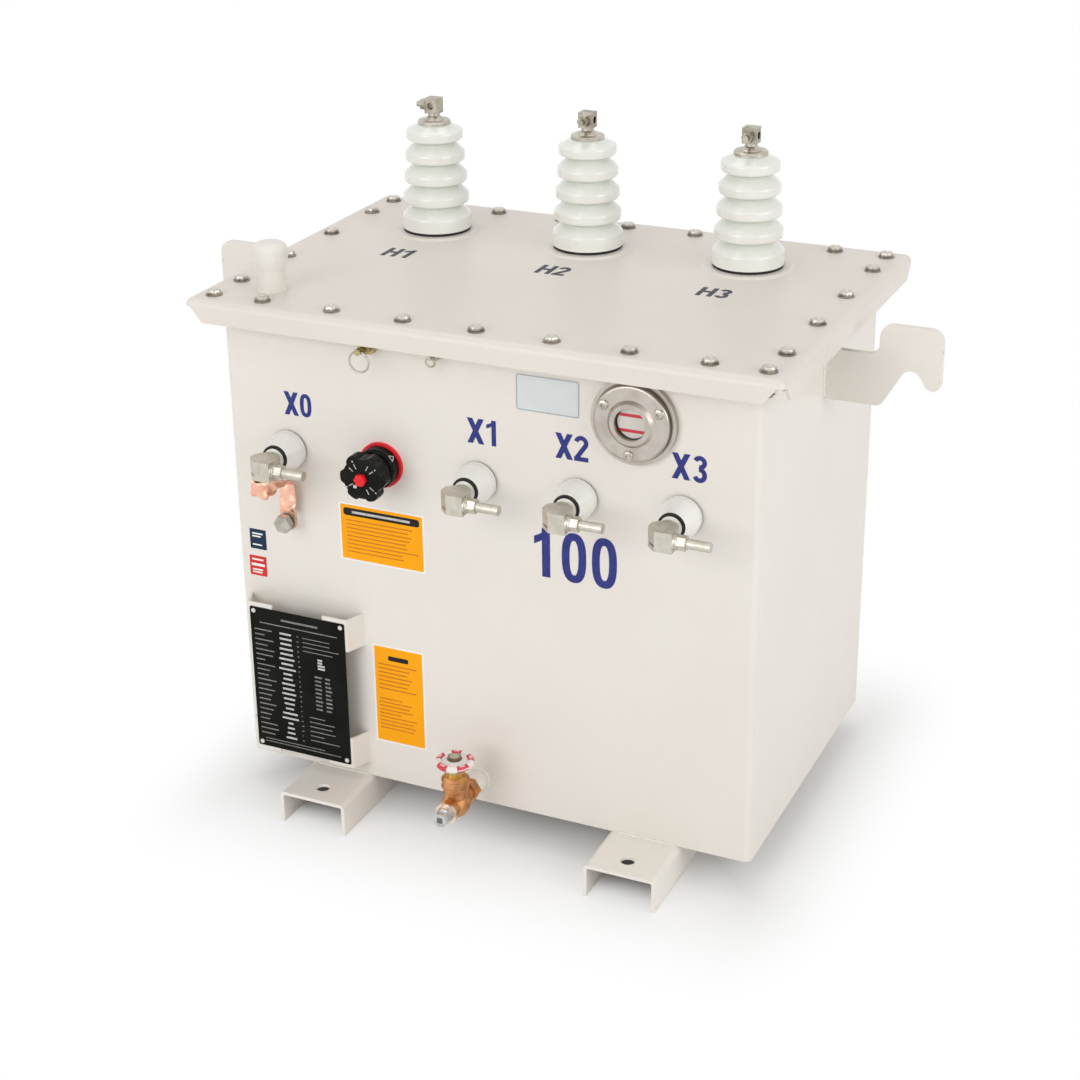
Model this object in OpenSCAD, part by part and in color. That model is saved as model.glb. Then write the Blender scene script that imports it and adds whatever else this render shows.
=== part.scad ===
// Oil-filled distribution transformer. A welded tank stands on two channel
// skids and is closed by a folded cover with turned-down lips. Ribbed
// porcelain bushings stand on the cover, and a row of small ones, a tap
// changer, an oil gauge and a drain valve sit on the front wall.
// Millimetres, +Z up, front towards -Y. The origin is on the floor, under
// the middle of the overall footprint.

/* [Tank] */
// Width of the tank across the front
tank_w = 760; // [720:5:860]
// Depth of the tank from front to back
tank_d = 490; // [440:5:600]
// Height of the walls, from the skids to the flange
tank_h = 681; // [640:1:760]
// Outside radius of the bent wall corners
tank_corner_r = 10; // [6:1:20]
// Width of the flat bar welded round the top of the walls
flange_w = 30; // [26:1:40]
// Thickness of that flat bar
flange_t = 8; // [5:1:12]

/* [Cover] */
// Thickness of the cover's sheet
cover_t = 4; // [3:0.5:6]
// Height of the turned-down lips, from the top of the sheet
lip_h = 31; // [26:1:40]
// Inside radius of the lips' bends
bend_r = 6; // [4:1:9]
// Gap between the lips and the flange
lip_gap = 2; // [1:0.5:5]
// Length that the sloping ends take off the lips' lower edges
lip_clip = 17; // [6:1:24]
// Thickness of the gasket under the cover
gasket_t = 5; // [3:1:8]
// Width of that gasket inside the walls' outer faces
gasket_in = 16; // [10:1:24]

/* [Skids] */
// Height of the channels
skid_h = 48; // [40:1:70]
// Width of the channels
skid_w = 102; // [80:1:130]
// Thickness of their plate
skid_t = 5; // [4:0.5:8]
// Distance of the channels' middles from the tank's sides
skid_in = 149; // [120:1:180]
// How far the channels stand out in front and behind
skid_out = 90; // [70:1:110]
// Diameter of the anchor holes
anchor_d = 20; // [14:1:26]
// Distance of the anchor holes from the channels' ends
anchor_in = 32; // [24:1:40]

/* [Lifting lugs] */
// Thickness of the lug plates
lug_t = 10; // [8:1:16]
// How far a lug stands out from the side wall
lug_reach = 154; // [146:1:180]
// Height of the arm at the wall
lug_arm_h = 69; // [60:1:80]
// Depth of the arm's lower edge below the top of the cover
lug_drop = 120; // [112:1:140]
// Width of the raised head
lug_head_w = 82; // [78:1:90]
// Height of the raised head above the arm's lower edge
lug_head_top = 111; // [100:1:120]
// Radius of the head's upper corners
lug_head_r = 17; // [10:1:22]
// Radius of the hollow between arm and head
lug_neck_r = 15; // [8:1:18]
// Radius of the arm's lower corner
lug_arm_r = 12; // [6:1:16]
// Radius of the hook's throat
hook_r = 14; // [12:1:16]
// Distance of the throat's middle from the lug's end
hook_in = 39; // [36:1:42]
// Height of the throat's middle above the arm's lower edge
hook_up = 38.5; // [36:0.5:42]
// Slope of the throat's sides away from upright
hook_flare = 30; // [20:1:34]
// Height of the hook's tip above the arm's lower edge
hook_tip_up = 29; // [24:1:32]

/* [High-voltage bushings] */
// Distance between bushings
hv_pitch = 238; // [200:1:250]
// Middle of the row, from the middle of the tank
hv_row_x = -14; // [-20:1:10]
// Distance of the row behind the middle of the tank
hv_back = 136; // [60:1:150]
// Diameter of the porcelain foot
hv_foot_d = 99; // [90:1:106]
// Diameter of the uppermost shed
hv_top_d = 81; // [76:1:86]
// Height of the porcelain
hv_h = 149.5; // [148:0.5:170]
// Number of sheds above the foot
hv_sheds = 4; // [3:1:4]
// Distance between sheds
hv_shed_pitch = 30.5; // [26:0.5:31]
// Depth of the grooves between sheds
hv_groove = 13.5; // [8:0.5:16]
// Radius of the sheds' rounded rims
hv_rim_r = 4; // [2:0.5:6]
// Thickness of the gasket under the foot
hv_gasket_t = 4; // [2:0.5:6]
// Height of the pressed seat on the cover
hv_seat_h = 3; // [2:0.5:5]
// Diameter of the metal cap
hv_cap_d = 47; // [42:1:52]
// Side of the cubic clamp
hv_clamp = 21; // [18:1:28]
// Diameter of the wire hole through the clamp
hv_wire_d = 10; // [6:1:12]

/* [Low-voltage bushings] */
// Distance between fittings of the row
lv_pitch = 141.5; // [126:0.5:150]
// Middle of the row, from the middle of the tank
lv_row_x = -5; // [-20:1:10]
// Depth of the row below the top of the cover
lv_drop = 207; // [190:1:240]
// Diameter of the porcelain at the wall
lv_foot_d = 54; // [48:1:60]
// Diameter of the porcelain at its nose
lv_nose_d = 36; // [32:1:40]
// Length of the porcelain
lv_len = 34; // [30:1:44]
// Thickness of the seal at the wall
lv_seal_t = 2.5; // [1.5:0.5:4]
// Thickness of the ring at the nose
lv_ring_t = 3.5; // [2:0.5:5]
// Diameter of the collar inside that ring
lv_collar_d = 29; // [26:1:31]
// Distance across the flats of the hexagonal neck
lv_hex_d = 19; // [16:1:22]
// Height of the terminal clamp
lv_clamp_h = 27; // [24:1:32]
// Width of the terminal clamp
lv_clamp_w = 36; // [30:1:40]
// Diameter of the terminal stud
lv_stud_d = 13; // [10:1:14]
// Length of stud that stands clear of its nut
lv_stud_len = 31; // [24:1:40]

/* [Grounding] */
// Depth of the ground bolt below the low-voltage row
ground_drop = 100; // [90:1:120]
// Diameter of the welded pad
ground_pad_d = 30; // [26:1:36]
// Height of the welded pad
ground_pad_h = 13; // [10:1:18]
// Width of the copper strap
strap_w = 26; // [20:1:30]
// Thickness of the copper strap
strap_t = 3; // [2:0.5:4]
// Inside radius of the strap's bends
strap_bend_r = 3; // [2:0.5:5]
// Height of the strap's front fold
strap_fold_h = 26; // [22:1:30]

/* [Tap changer] */
// Diameter of the base ring
tap_ring_d = 63; // [58:1:70]
// Thickness of the base ring
tap_ring_t = 5; // [3:1:8]
// Diameter of the housing
tap_housing_d = 56; // [50:1:58]
// Length of the housing
tap_housing_len = 31; // [24:1:40]
// Diameter over the knob's lobes
tap_knob_d = 67; // [60:1:76]
// Thickness of the knob
tap_knob_t = 20; // [16:1:26]
// Depth of the hollows between lobes
tap_flute = 6; // [3:0.5:7]
// Number of lobes
tap_lobes = 6; // [5:1:8]
// Running gap between knob and housing
tap_gap = 0.5; // [0.3:0.1:0.9]

/* [Oil gauge] */
// Distance of the gauge from the tank's right side
gauge_in = 166; // [130:1:190]
// Depth of the gauge below the top of the cover
gauge_drop = 90; // [88:1:110]
// Diameter of the gauge's flange
gauge_d = 114; // [100:1:116]
// Thickness of the flange
gauge_t = 8; // [5:1:12]
// Diameter of the raised disc that carries the screws
gauge_disc_d = 102; // [90:1:106]
// Diameter of the sight window
gauge_window_d = 42; // [36:1:50]
// Width of the rim round the window
gauge_rim_w = 10; // [6:1:12]

/* [Relief valve] */
// Distance of the relief valve from the tank's left side
relief_in = 225; // [200:1:250]
// Depth of the relief valve below the top of the cover
relief_drop = 40; // [39:1:60]
// Diameter of the pull ring's wire
ring_wire_d = 2.6; // [2:0.2:3]
// Diameter of the pull ring, at the middle of its wire
ring_d = 28; // [24:1:34]
// Distance of the test plug from the relief valve
plug_pitch = 95; // [60:1:130]

/* [Nameplate] */
// Width of the nameplate
plate_w = 152; // [120:1:160]
// Height of the nameplate
plate_h = 222; // [180:1:230]
// Distance of the plate's middle from the tank's left side
plate_in = 104; // [102:1:150]
// Height of the plate's lower edge above the tank's underside
plate_up = 27; // [10:1:40]
// Distance of the brackets' faces from the wall
plate_off = 28; // [20:1:34]
// Thickness of the brackets' sheet
bracket_t = 2.5; // [1.5:0.5:4]
// Thickness of the nameplate
plate_t = 1.2; // [0.8:0.2:2]

/* [Filler] */
// Distance of the filler from the cover's left edge
filler_in_x = 90; // [65:1:110]
// Distance of the filler from the cover's front edge
filler_in_y = 79; // [65:1:120]
// Diameter of the neck
filler_d = 38; // [34:1:42]
// Height of the neck
filler_h = 30; // [24:1:40]
// Diameter of the screwed cap
filler_cap_d = 46; // [44:1:54]
// Height of the screwed cap
filler_cap_h = 36; // [30:1:42]

/* [Drain valve] */
// Distance of the valve from the middle of the tank
drain_x = -16; // [-40:1:60]
// Height of the pipe above the tank's underside
drain_up = 34; // [30:1:60]
// Diameter of the welded coupling
drain_pipe_d = 30; // [26:1:34]
// Length of the welded coupling
drain_coupling_len = 26; // [16:1:34]
// Length of the valve's body
drain_body_len = 74; // [70:1:90]
// Diameter of the round belly
drain_belly_d = 39; // [36:1:44]
// Length of the outlet plug
drain_plug_len = 18; // [14:1:28]
// Diameter of the handwheel
wheel_d = 53; // [48:1:64]
// Diameter of the valve's stem
stem_d = 8; // [6:1:10]
// Running gap round the stem
stem_gap = 0.3; // [0.2:0.1:0.5]

/* [Hidden] */
$fn = 64;
seam = 0.01;
hex = 6;
paint = "#e6e1d8";
porcelain = "#e4e8de";
tin = "#b8b6ac";
black = "#26241f";
bronze = "#b9743a";
red = "#d8312f";

// Levels and outlines that several pieces share
cover_out = flange_w + lip_gap + cover_t;
cover_w = tank_w + 2 * cover_out;
cover_d = tank_d + 2 * cover_out;
bend_out = bend_r + cover_t;
flange_top = skid_h + tank_h;
cover_z = flange_top + gasket_t;
cover_top = cover_z + cover_t;
skid_len = tank_d + 2 * skid_out;
skid_x = tank_w / 2 - skid_in;
drain_reach = drain_coupling_len + drain_body_len + drain_plug_len;
tank_y = (max(drain_reach, skid_out) - skid_out) / 2;
front_y = tank_y - tank_d / 2;

// Places of the rows and of single pieces
function hv_x(i) = hv_row_x + (i - 1) * hv_pitch;
function lv_x(slot) = lv_row_x + (slot - 2) * lv_pitch;
lv_slots = [0, 2, 3, 4];
tap_slot = 1;
lv_z = cover_top - lv_drop;
ground_z = lv_z - ground_drop;
gauge_x = tank_w / 2 - gauge_in;
gauge_z = cover_top - gauge_drop;
plate_x = plate_in - tank_w / 2;
plate_z = skid_h + plate_up + plate_h / 2;
hv_foot_z = cover_top + hv_seat_h + hv_gasket_t;
hv_cap_z = hv_foot_z + hv_h;

// Small parts with one set of sizes
hv_cap_t = 6;
hv_stem_d = 17;
hv_stem_h = 10;
hv_bolt_d = 8;
hv_bolt_len = 15;
hv_nut_d = 16;
hv_nut_t = 9;
lv_collar_t = lv_ring_t + 1;
lv_neck_out = lv_seal_t + lv_len + lv_collar_t;
lv_neck_len = 17;
lv_clamp_out = lv_neck_out + lv_neck_len;
lv_clamp_t = 26;
lv_clamp_cut = 13;
lv_clamp_low = 2;
lv_stud_in = lv_clamp_t * 0.6;
lv_slit_w = 2.5;
lv_nut_d = 20;
lv_nut_t = 11;
lv_washer_d = 22;
lv_washer_t = 5;
knob_out = tap_ring_t + tap_housing_len + tap_gap;
spindle_d = 12;
spindle_len = 12;
button_d = 17;
button_t = 6;
relief_hex_d = 24;
relief_hex_t = 12;
relief_neck_d = 15;
relief_neck_len = 12;
relief_stem_d = 9;
relief_stem_len = 14;
relief_eye_d = 4.8;
relief_x = relief_in - tank_w / 2;
relief_z = cover_top - relief_drop;
relief_reach = relief_hex_t + relief_neck_len + relief_stem_len - relief_stem_d / 2;
bracket_w = 36;
bracket_h = 48;
bracket_up = 5;
ear_run = 14;
nut_h = 14;
nut_d = 36;
gland_d = 21;
gland_h = 14;
wheel_h = 9;
wheel_gap = 2;
wheel_nut_h = 4;
drain_z = skid_h + drain_up;
stem_reach = drain_coupling_len + drain_body_len * 0.58;
boss_h = 30;
wheel_z = drain_z + boss_h + nut_h + gland_h + wheel_gap;

// Rectangle with round corners, centred
module round_rect(w, d, r) {
    square([w - 2 * r, d], center = true);
    square([w, d - 2 * r], center = true);
    for (x = [-1, 1], y = [-1, 1])
        translate([x * (w / 2 - r), y * (d / 2 - r)]) circle(r);
}

// Places children on the front wall: local Z points out of the wall, local Y up
module front(x, z) {
    translate([x, front_y, z]) rotate([90, 0, 0]) children();
}

// Quarter bend and straight leg of a lip, seen along the lip; the sheet's flat ends at x = 0
module lip_section() {
    translate([0, cover_t - bend_out]) intersection() {
        difference() {
            circle(bend_out);
            circle(bend_r);
        }
        square(bend_out);
    }
    translate([bend_r, cover_t - lip_h]) square([cover_t, lip_h - bend_out]);
}

// One lip of the given length along local Y, with sloping ends below the bend
module lip(len) {
    leg_h = lip_h - bend_out;
    intersection() {
        rotate([90, 0, 0]) linear_extrude(len, center = true) lip_section();
        translate([0, 0, cover_t - bend_out]) rotate([90, 0, 90]) linear_extrude(bend_out)
            polygon([[-len / 2, bend_out], [-len / 2, 0], [lip_clip - len / 2, -leg_h],
                [len / 2 - lip_clip, -leg_h], [len / 2, 0], [len / 2, bend_out]]);
    }
}

// Hollow round corner where two bends meet; x and y are 1 or -1
module cover_corner(x, y) {
    intersection() {
        difference() {
            sphere(bend_out);
            sphere(bend_r);
        }
        translate([(x - 1) / 2 * bend_out, (y - 1) / 2 * bend_out, 0]) cube(bend_out);
    }
}

module tank() {
    color(paint) {
        translate([0, tank_y, skid_h]) linear_extrude(tank_h)
            round_rect(tank_w, tank_d, tank_corner_r);
        front(lv_x(0), ground_z) translate([0, 0, -ground_pad_h])
            cylinder(d = ground_pad_d, h = 2 * ground_pad_h);
    }
}

module tank_flange() {
    color(paint) translate([0, tank_y, flange_top - flange_t]) linear_extrude(flange_t) difference() {
        round_rect(tank_w + 2 * flange_w, tank_d + 2 * flange_w, tank_corner_r);
        round_rect(tank_w, tank_d, tank_corner_r);
    }
}

module cover_gasket() {
    out = cover_out - bend_out;
    color(black) translate([0, tank_y, flange_top]) linear_extrude(gasket_t) difference() {
        round_rect(tank_w + 2 * out, tank_d + 2 * out, tank_corner_r);
        square([tank_w - 2 * gasket_in, tank_d - 2 * gasket_in], center = true);
    }
}

module cover() {
    seat_d = hv_foot_d + 20;
    flat_w = cover_w - 2 * bend_out;
    flat_d = cover_d - 2 * bend_out;
    color(paint) translate([0, tank_y, cover_z]) {
        linear_extrude(cover_t) square([flat_w, flat_d], center = true);
        for (turn = [0, 180]) {
            rotate(turn) translate([flat_w / 2, 0, 0]) lip(flat_d);
            rotate(turn + 90) translate([flat_d / 2, 0, 0]) lip(flat_w);
        }
        for (x = [-1, 1], y = [-1, 1])
            translate([x * flat_w / 2, y * flat_d / 2, cover_t - bend_out]) cover_corner(x, y);
        for (i = [0:2])
            translate([hv_x(i), hv_back, cover_t])
                cylinder(d1 = seat_d + 2 * hv_seat_h, d2 = seat_d, h = hv_seat_h);
    }
}

// Inverted channel along Y with bent upper edges and an anchor hole near each end
module skid(side) {
    inner_w = skid_w - 2 * skid_t;
    bend = 1.5 * skid_t;
    color(paint) translate([side * skid_x, tank_y, 0]) difference() {
        rotate([90, 0, 0]) linear_extrude(skid_len, center = true) difference() {
            union() {
                translate([-skid_w / 2, 0]) square([skid_w, skid_h - bend]);
                translate([-skid_w / 2 + bend, 0]) square([skid_w - 2 * bend, skid_h]);
                for (s = [-1, 1]) translate([s * (skid_w / 2 - bend), skid_h - bend]) circle(bend);
            }
            translate([-inner_w / 2, -skid_t]) square([inner_w, skid_h + skid_t - bend]);
            translate([-skid_w / 2 + bend, -skid_t]) square([skid_w - 2 * bend, skid_h]);
            for (s = [-1, 1]) translate([s * (skid_w / 2 - bend), skid_h - bend]) circle(bend - skid_t);
        }
        for (s = [-1, 1])
            translate([0, s * (skid_len / 2 - anchor_in), skid_h - 2 * skid_t])
                cylinder(d = anchor_d, h = 3 * skid_t);
    }
}

// Outline of a lifting lug: x from the wall outwards, y up from the arm's lower edge
module lug_outline() {
    throat = [lug_reach - hook_in, hook_up];
    inner = throat + hook_r * [-cos(hook_flare), sin(hook_flare)];
    outer = throat + hook_r * [cos(hook_flare), sin(hook_flare)];
    tip_r = ((lug_reach - outer[0]) * cos(hook_flare) + (hook_tip_up - outer[1]) * sin(hook_flare))
        / (1 + cos(hook_flare) - sin(hook_flare));
    tip = [lug_reach - tip_r, hook_tip_up + tip_r];
    heel = [inner[0] - (lug_arm_r + (inner[1] - lug_arm_r) * sin(hook_flare)) / cos(hook_flare), lug_arm_r];
    head_x = lug_reach - lug_head_w;
    head_y = lug_head_top - lug_head_r;
    polygon([[0, 0], [heel[0], 0], heel, heel + lug_arm_r * [cos(hook_flare), -sin(hook_flare)], inner,
        [inner[0], lug_arm_h], [0, lug_arm_h]]);
    translate(heel) circle(lug_arm_r);
    difference() {
        union() {
            translate([head_x, inner[1]]) square([lug_head_w, head_y - inner[1]]);
            translate([head_x + lug_head_r, inner[1]])
                square([lug_head_w - 2 * lug_head_r, lug_head_top - inner[1]]);
            for (x = [head_x + lug_head_r, lug_reach - lug_head_r]) translate([x, head_y]) circle(lug_head_r);
        }
        translate(throat) circle(hook_r);
    }
    polygon([outer, tip - tip_r * [cos(hook_flare), sin(hook_flare)], tip,
        [lug_reach, tip[1]], [lug_reach, outer[1]]]);
    translate(tip) circle(tip_r);
    difference() {
        translate([head_x - lug_neck_r, lug_arm_h]) square(lug_neck_r);
        translate([head_x - lug_neck_r, lug_arm_h + lug_neck_r]) circle(lug_neck_r);
    }
}

module lifting_lug(side) {
    color(paint) translate([0, tank_y, cover_top - lug_drop]) rotate([0, 0, side > 0 ? 0 : 180])
        translate([tank_w / 2, lug_t / 2, 0]) rotate([90, 0, 0]) linear_extrude(lug_t) lug_outline();
}

module hv_gaskets() {
    color(black) for (i = [0:2])
        translate([hv_x(i), tank_y + hv_back, cover_top + hv_seat_h])
            cylinder(d = hv_foot_d - 2, h = hv_gasket_t);
}

// Point where a line from p touches a circle round c; side is 1 or -1
function touch(p, c, r, side) =
    let (d = norm(p - c), a = acos(r / d), b = atan2(p[1] - c[1], p[0] - c[0]))
    c + r * [cos(b + side * a), sin(b + side * a)];

// Half section of one shed: root at radius low_r and height z, upright rim at radius rim, half the pitch high
module shed_section(rim, low_r, high_r, z, high_z) {
    low_c = [rim - hv_rim_r, z + hv_shed_pitch * 0.08 + hv_rim_r];
    high_c = [rim - hv_rim_r, z + hv_shed_pitch * 0.58 - hv_rim_r];
    polygon([[0, z], [low_r, z], touch([low_r, z], low_c, hv_rim_r, 1), low_c, high_c,
        touch([high_r, high_z], high_c, hv_rim_r, -1), [high_r, high_z], [0, high_z]]);
    translate(low_c) circle(hv_rim_r);
    translate(high_c) circle(hv_rim_r);
    translate([rim - 2 * hv_rim_r, low_c[1]]) square([2 * hv_rim_r, high_c[1] - low_c[1]]);
}

// Radius of rim k, counted from the foot, which is rim 0
function rim_r(k) = (hv_foot_d - (hv_foot_d - hv_top_d) * k / hv_sheds) / 2;

// Ribbed porcelain: a straight foot with a sloping shoulder, then tapering sheds
module hv_porcelain(i) {
    shed_z = hv_h - (hv_sheds - 0.21) * hv_shed_pitch;
    foot_z = shed_z - hv_shed_pitch * 0.42;
    foot_c = [hv_foot_d / 2 - hv_rim_r, foot_z - hv_rim_r];
    waist = rim_r(1) - hv_groove;
    color(porcelain) translate([hv_x(i), tank_y + hv_back, hv_foot_z]) rotate_extrude() {
        square([hv_foot_d / 2, foot_c[1]]);
        translate(foot_c) circle(hv_rim_r);
        polygon([[0, foot_c[1]], foot_c, touch([waist, shed_z], foot_c, hv_rim_r, -1),
            [waist, shed_z], [0, shed_z]]);
        for (k = [1:hv_sheds]) {
            z = shed_z + (k - 1) * hv_shed_pitch;
            top = k == hv_sheds;
            shed_section(rim_r(k), rim_r(k) - hv_groove, top ? hv_cap_d / 2 : rim_r(k + 1) - hv_groove,
                z, top ? hv_h : z + hv_shed_pitch);
        }
    }
}

module hv_caps() {
    edge = hv_cap_t / 3;
    color(tin) for (i = [0:2]) translate([hv_x(i), tank_y + hv_back, hv_cap_z]) {
        cylinder(d = hv_cap_d, h = hv_cap_t - edge);
        translate([0, 0, hv_cap_t - edge]) cylinder(d1 = hv_cap_d, d2 = hv_cap_d - 2 * edge, h = edge);
        translate([0, 0, hv_cap_t]) {
            cylinder(d = hv_stem_d, h = hv_stem_h);
            cylinder(d1 = hv_stem_d * 1.7, d2 = hv_stem_d, h = hv_stem_h * 0.6);
        }
    }
}

// Cubic clamp with a wire hole across it, and a clamping bolt with its nut; the bolt points along local -Y
module hv_terminal(i, turn) {
    color(tin) translate([hv_x(i), tank_y + hv_back, hv_cap_z + hv_cap_t + hv_stem_h]) rotate(turn) {
        difference() {
            linear_extrude(hv_clamp) round_rect(hv_clamp, hv_clamp, hv_clamp / 8);
            translate([0, 0, hv_clamp / 2]) rotate([0, 90, 0])
                cylinder(d = hv_wire_d, h = 2 * hv_clamp, center = true);
        }
        translate([0, -hv_clamp / 2, hv_clamp / 2]) rotate([90, 0, 0]) {
            cylinder(d = hv_bolt_d, h = hv_bolt_len);
            cylinder(d = hv_nut_d, h = hv_nut_t, $fn = hex);
        }
    }
}

module lv_seals() {
    color(black) for (slot = lv_slots) front(lv_x(slot), lv_z) {
        cylinder(d = lv_foot_d - 2, h = lv_seal_t);
        translate([0, 0, lv_seal_t + lv_len]) difference() {
            cylinder(d = lv_nose_d, h = lv_ring_t);
            translate([0, 0, -lv_ring_t]) cylinder(d = lv_collar_d, h = 3 * lv_ring_t);
        }
    }
}

// Round porcelain with a rolled shoulder, a tapering nose and a collar that fills the ring
module lv_porcelain(slot) {
    roll = lv_foot_d / 9;
    shoulder = lv_len * 0.45;
    color(porcelain) front(lv_x(slot), lv_z) translate([0, 0, lv_seal_t]) rotate_extrude() {
        square([lv_foot_d / 2, shoulder - roll]);
        square([lv_foot_d / 2 - roll, shoulder]);
        translate([lv_foot_d / 2 - roll, shoulder - roll]) circle(roll);
        polygon([[0, shoulder - roll], [lv_foot_d / 2 - roll, shoulder - roll],
            touch([lv_nose_d / 2, lv_len], [lv_foot_d / 2 - roll, shoulder - roll], roll, -1),
            [lv_nose_d / 2, lv_len], [0, lv_len]]);
        square([lv_collar_d / 2, lv_len + lv_collar_t]);
    }
}

// Plan of the clamp block from above: x across, y out of the wall, one front corner cut off
module lv_clamp_plan() {
    side = lv_clamp_w / 2;
    polygon([[-side, 0], [side, 0], [side, lv_clamp_t], [lv_clamp_cut - side, lv_clamp_t],
        [-side, lv_clamp_t - lv_clamp_cut]]);
}

// Hexagonal neck, edge upwards, that spreads into a slit clamp block; washers, nut and stud to the right
module lv_terminal(slot) {
    color(tin) front(lv_x(slot), lv_z) {
        difference() {
            hull() {
                translate([0, 0, lv_neck_out]) rotate(90)
                    cylinder(d = lv_hex_d / cos(180 / hex), h = lv_neck_len / 4, $fn = hex);
                translate([0, lv_clamp_h / 2 - lv_clamp_low, lv_clamp_out]) rotate([90, 0, 0])
                    linear_extrude(lv_clamp_h) lv_clamp_plan();
            }
            translate([-lv_clamp_w / 2, -lv_clamp_low - lv_clamp_h / 4, lv_clamp_out + lv_clamp_t / 2])
                cube([lv_clamp_w * 0.7, lv_slit_w, 2 * lv_clamp_t], center = true);
        }
        translate([lv_clamp_w / 2, -lv_clamp_low, lv_clamp_out + lv_stud_in]) rotate([0, 90, 0]) {
            cylinder(d = lv_washer_d, h = lv_washer_t / 2);
            cylinder(d = lv_nut_d, h = lv_washer_t);
            cylinder(d = lv_nut_d, h = lv_washer_t + lv_nut_t, $fn = hex);
            cylinder(d = lv_stud_d, h = lv_washer_t + lv_nut_t + lv_stud_len);
        }
    }
}

// Quarter bend of the strap round the origin; x and y are 1 or -1 and give its quarter
module strap_bend(x, y) {
    out = strap_bend_r + strap_t;
    intersection() {
        difference() {
            circle(out);
            circle(strap_bend_r);
        }
        translate([(x - 1) / 2 * out, (y - 1) / 2 * out]) square(out);
    }
}

// Bent copper strap, from under the neutral clamp, down, back to the wall and down to the bolt
module ground_strap() {
    out = strap_bend_r + strap_t;
    tab_y = -lv_clamp_low - lv_clamp_h / 2;
    low_y = tab_y - strap_fold_h;
    end_y = -ground_drop - ground_pad_d * 0.3;
    face = lv_clamp_out + lv_clamp_t + strap_t;
    color("#d98c5f") front(lv_x(0), lv_z) rotate([0, -90, 0]) linear_extrude(strap_w, center = true) {
        translate([lv_clamp_out, tab_y - strap_t]) square([face - out - lv_clamp_out, strap_t]);
        translate([face - out, tab_y - out]) strap_bend(1, 1);
        translate([face - strap_t, low_y + out]) square([strap_t, strap_fold_h - 2 * out]);
        translate([face - out, low_y + out]) strap_bend(1, -1);
        translate([ground_pad_h + out, low_y]) square([face - 2 * out - ground_pad_h, strap_t]);
        translate([ground_pad_h + out, low_y - strap_bend_r]) strap_bend(-1, 1);
        translate([ground_pad_h, end_y]) square([strap_t, low_y - strap_bend_r - end_y]);
    }
}

module ground_bolt() {
    washer_t = 2.5;
    head_z = 2.5 * washer_t;
    color(tin) front(lv_x(0), ground_z) translate([0, 0, ground_pad_h + strap_t]) {
        cylinder(d = ground_pad_d - 4, h = washer_t);
        cylinder(d = ground_pad_d - 10, h = head_z);
        translate([0, 0, head_z]) cylinder(d = ground_pad_d - 4, h = 4 * washer_t, $fn = hex);
    }
}

module tap_ring() {
    color(red) front(lv_x(tap_slot), lv_z) cylinder(d = tap_ring_d, h = tap_ring_t);
}

// Round housing with a stepped collar and the spindle that carries the knob
module tap_housing() {
    collar = tap_housing_len * 0.55;
    edge = tap_housing_d / 14;
    color(black) front(lv_x(tap_slot), lv_z) translate([0, 0, tap_ring_t]) rotate_extrude() {
        square([tap_housing_d / 2, collar - edge]);
        square([tap_housing_d / 2 - edge, tap_housing_len]);
        translate([tap_housing_d / 2 - edge, collar - edge]) circle(edge);
        square([spindle_d / 2, tap_housing_len + tap_gap + spindle_len]);
    }
}

// Lobed hand knob with rounded edges and a blind hole for the spindle
module tap_knob() {
    lobe_r = tap_knob_d / 7;
    edge = tap_knob_t / 5;
    color(black) front(lv_x(tap_slot), lv_z) translate([0, 0, knob_out]) difference() {
        intersection() {
            linear_extrude(tap_knob_t) {
                circle(d = tap_knob_d - 2 * tap_flute);
                for (k = [1:tap_lobes]) rotate(k * 360 / tap_lobes) {
                    translate([tap_knob_d / 2 - lobe_r, 0]) circle(lobe_r);
                    translate([0, -lobe_r]) square([tap_knob_d / 2 - lobe_r, 2 * lobe_r]);
                }
            }
            rotate_extrude() {
                square([tap_knob_d / 2 - edge, tap_knob_t]);
                translate([0, edge]) square([tap_knob_d / 2, tap_knob_t - 2 * edge]);
                for (z = [edge, tap_knob_t - edge]) translate([tap_knob_d / 2 - edge, z]) circle(edge);
            }
        }
        translate([0, 0, -seam]) cylinder(d = spindle_d + 2 * stem_gap, h = spindle_len + stem_gap);
    }
}

module tap_button() {
    color(red) front(lv_x(tap_slot), lv_z)
        translate([0, 0, knob_out + tap_knob_t]) cylinder(d = button_d, h = button_t, $fn = hex);
}

// Round plate, raised disc with a rolled shoulder, and a sloping rim round the window's recess
module gauge_flange() {
    roll = gauge_t / 2;
    top = 2 * gauge_t;
    rim_r = gauge_window_d / 2 + gauge_rim_w;
    color("#c3bbb0") front(gauge_x, gauge_z) difference() {
        rotate_extrude() {
            square([gauge_d / 2, gauge_t]);
            square([gauge_disc_d / 2, top - roll]);
            square([gauge_disc_d / 2 - roll, top]);
            translate([gauge_disc_d / 2 - roll, top - roll]) circle(roll);
            polygon([[0, gauge_t], [rim_r, gauge_t], [rim_r, top], [rim_r - roll, top + roll],
                [0, top + roll]]);
        }
        translate([0, 0, gauge_t]) cylinder(d = gauge_window_d, h = 2 * gauge_t);
    }
}

module gauge_window() {
    color("#e8e6e0") front(gauge_x, gauge_z)
        translate([0, 0, gauge_t]) cylinder(d = gauge_window_d - 1, h = gauge_t / 2);
}

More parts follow.
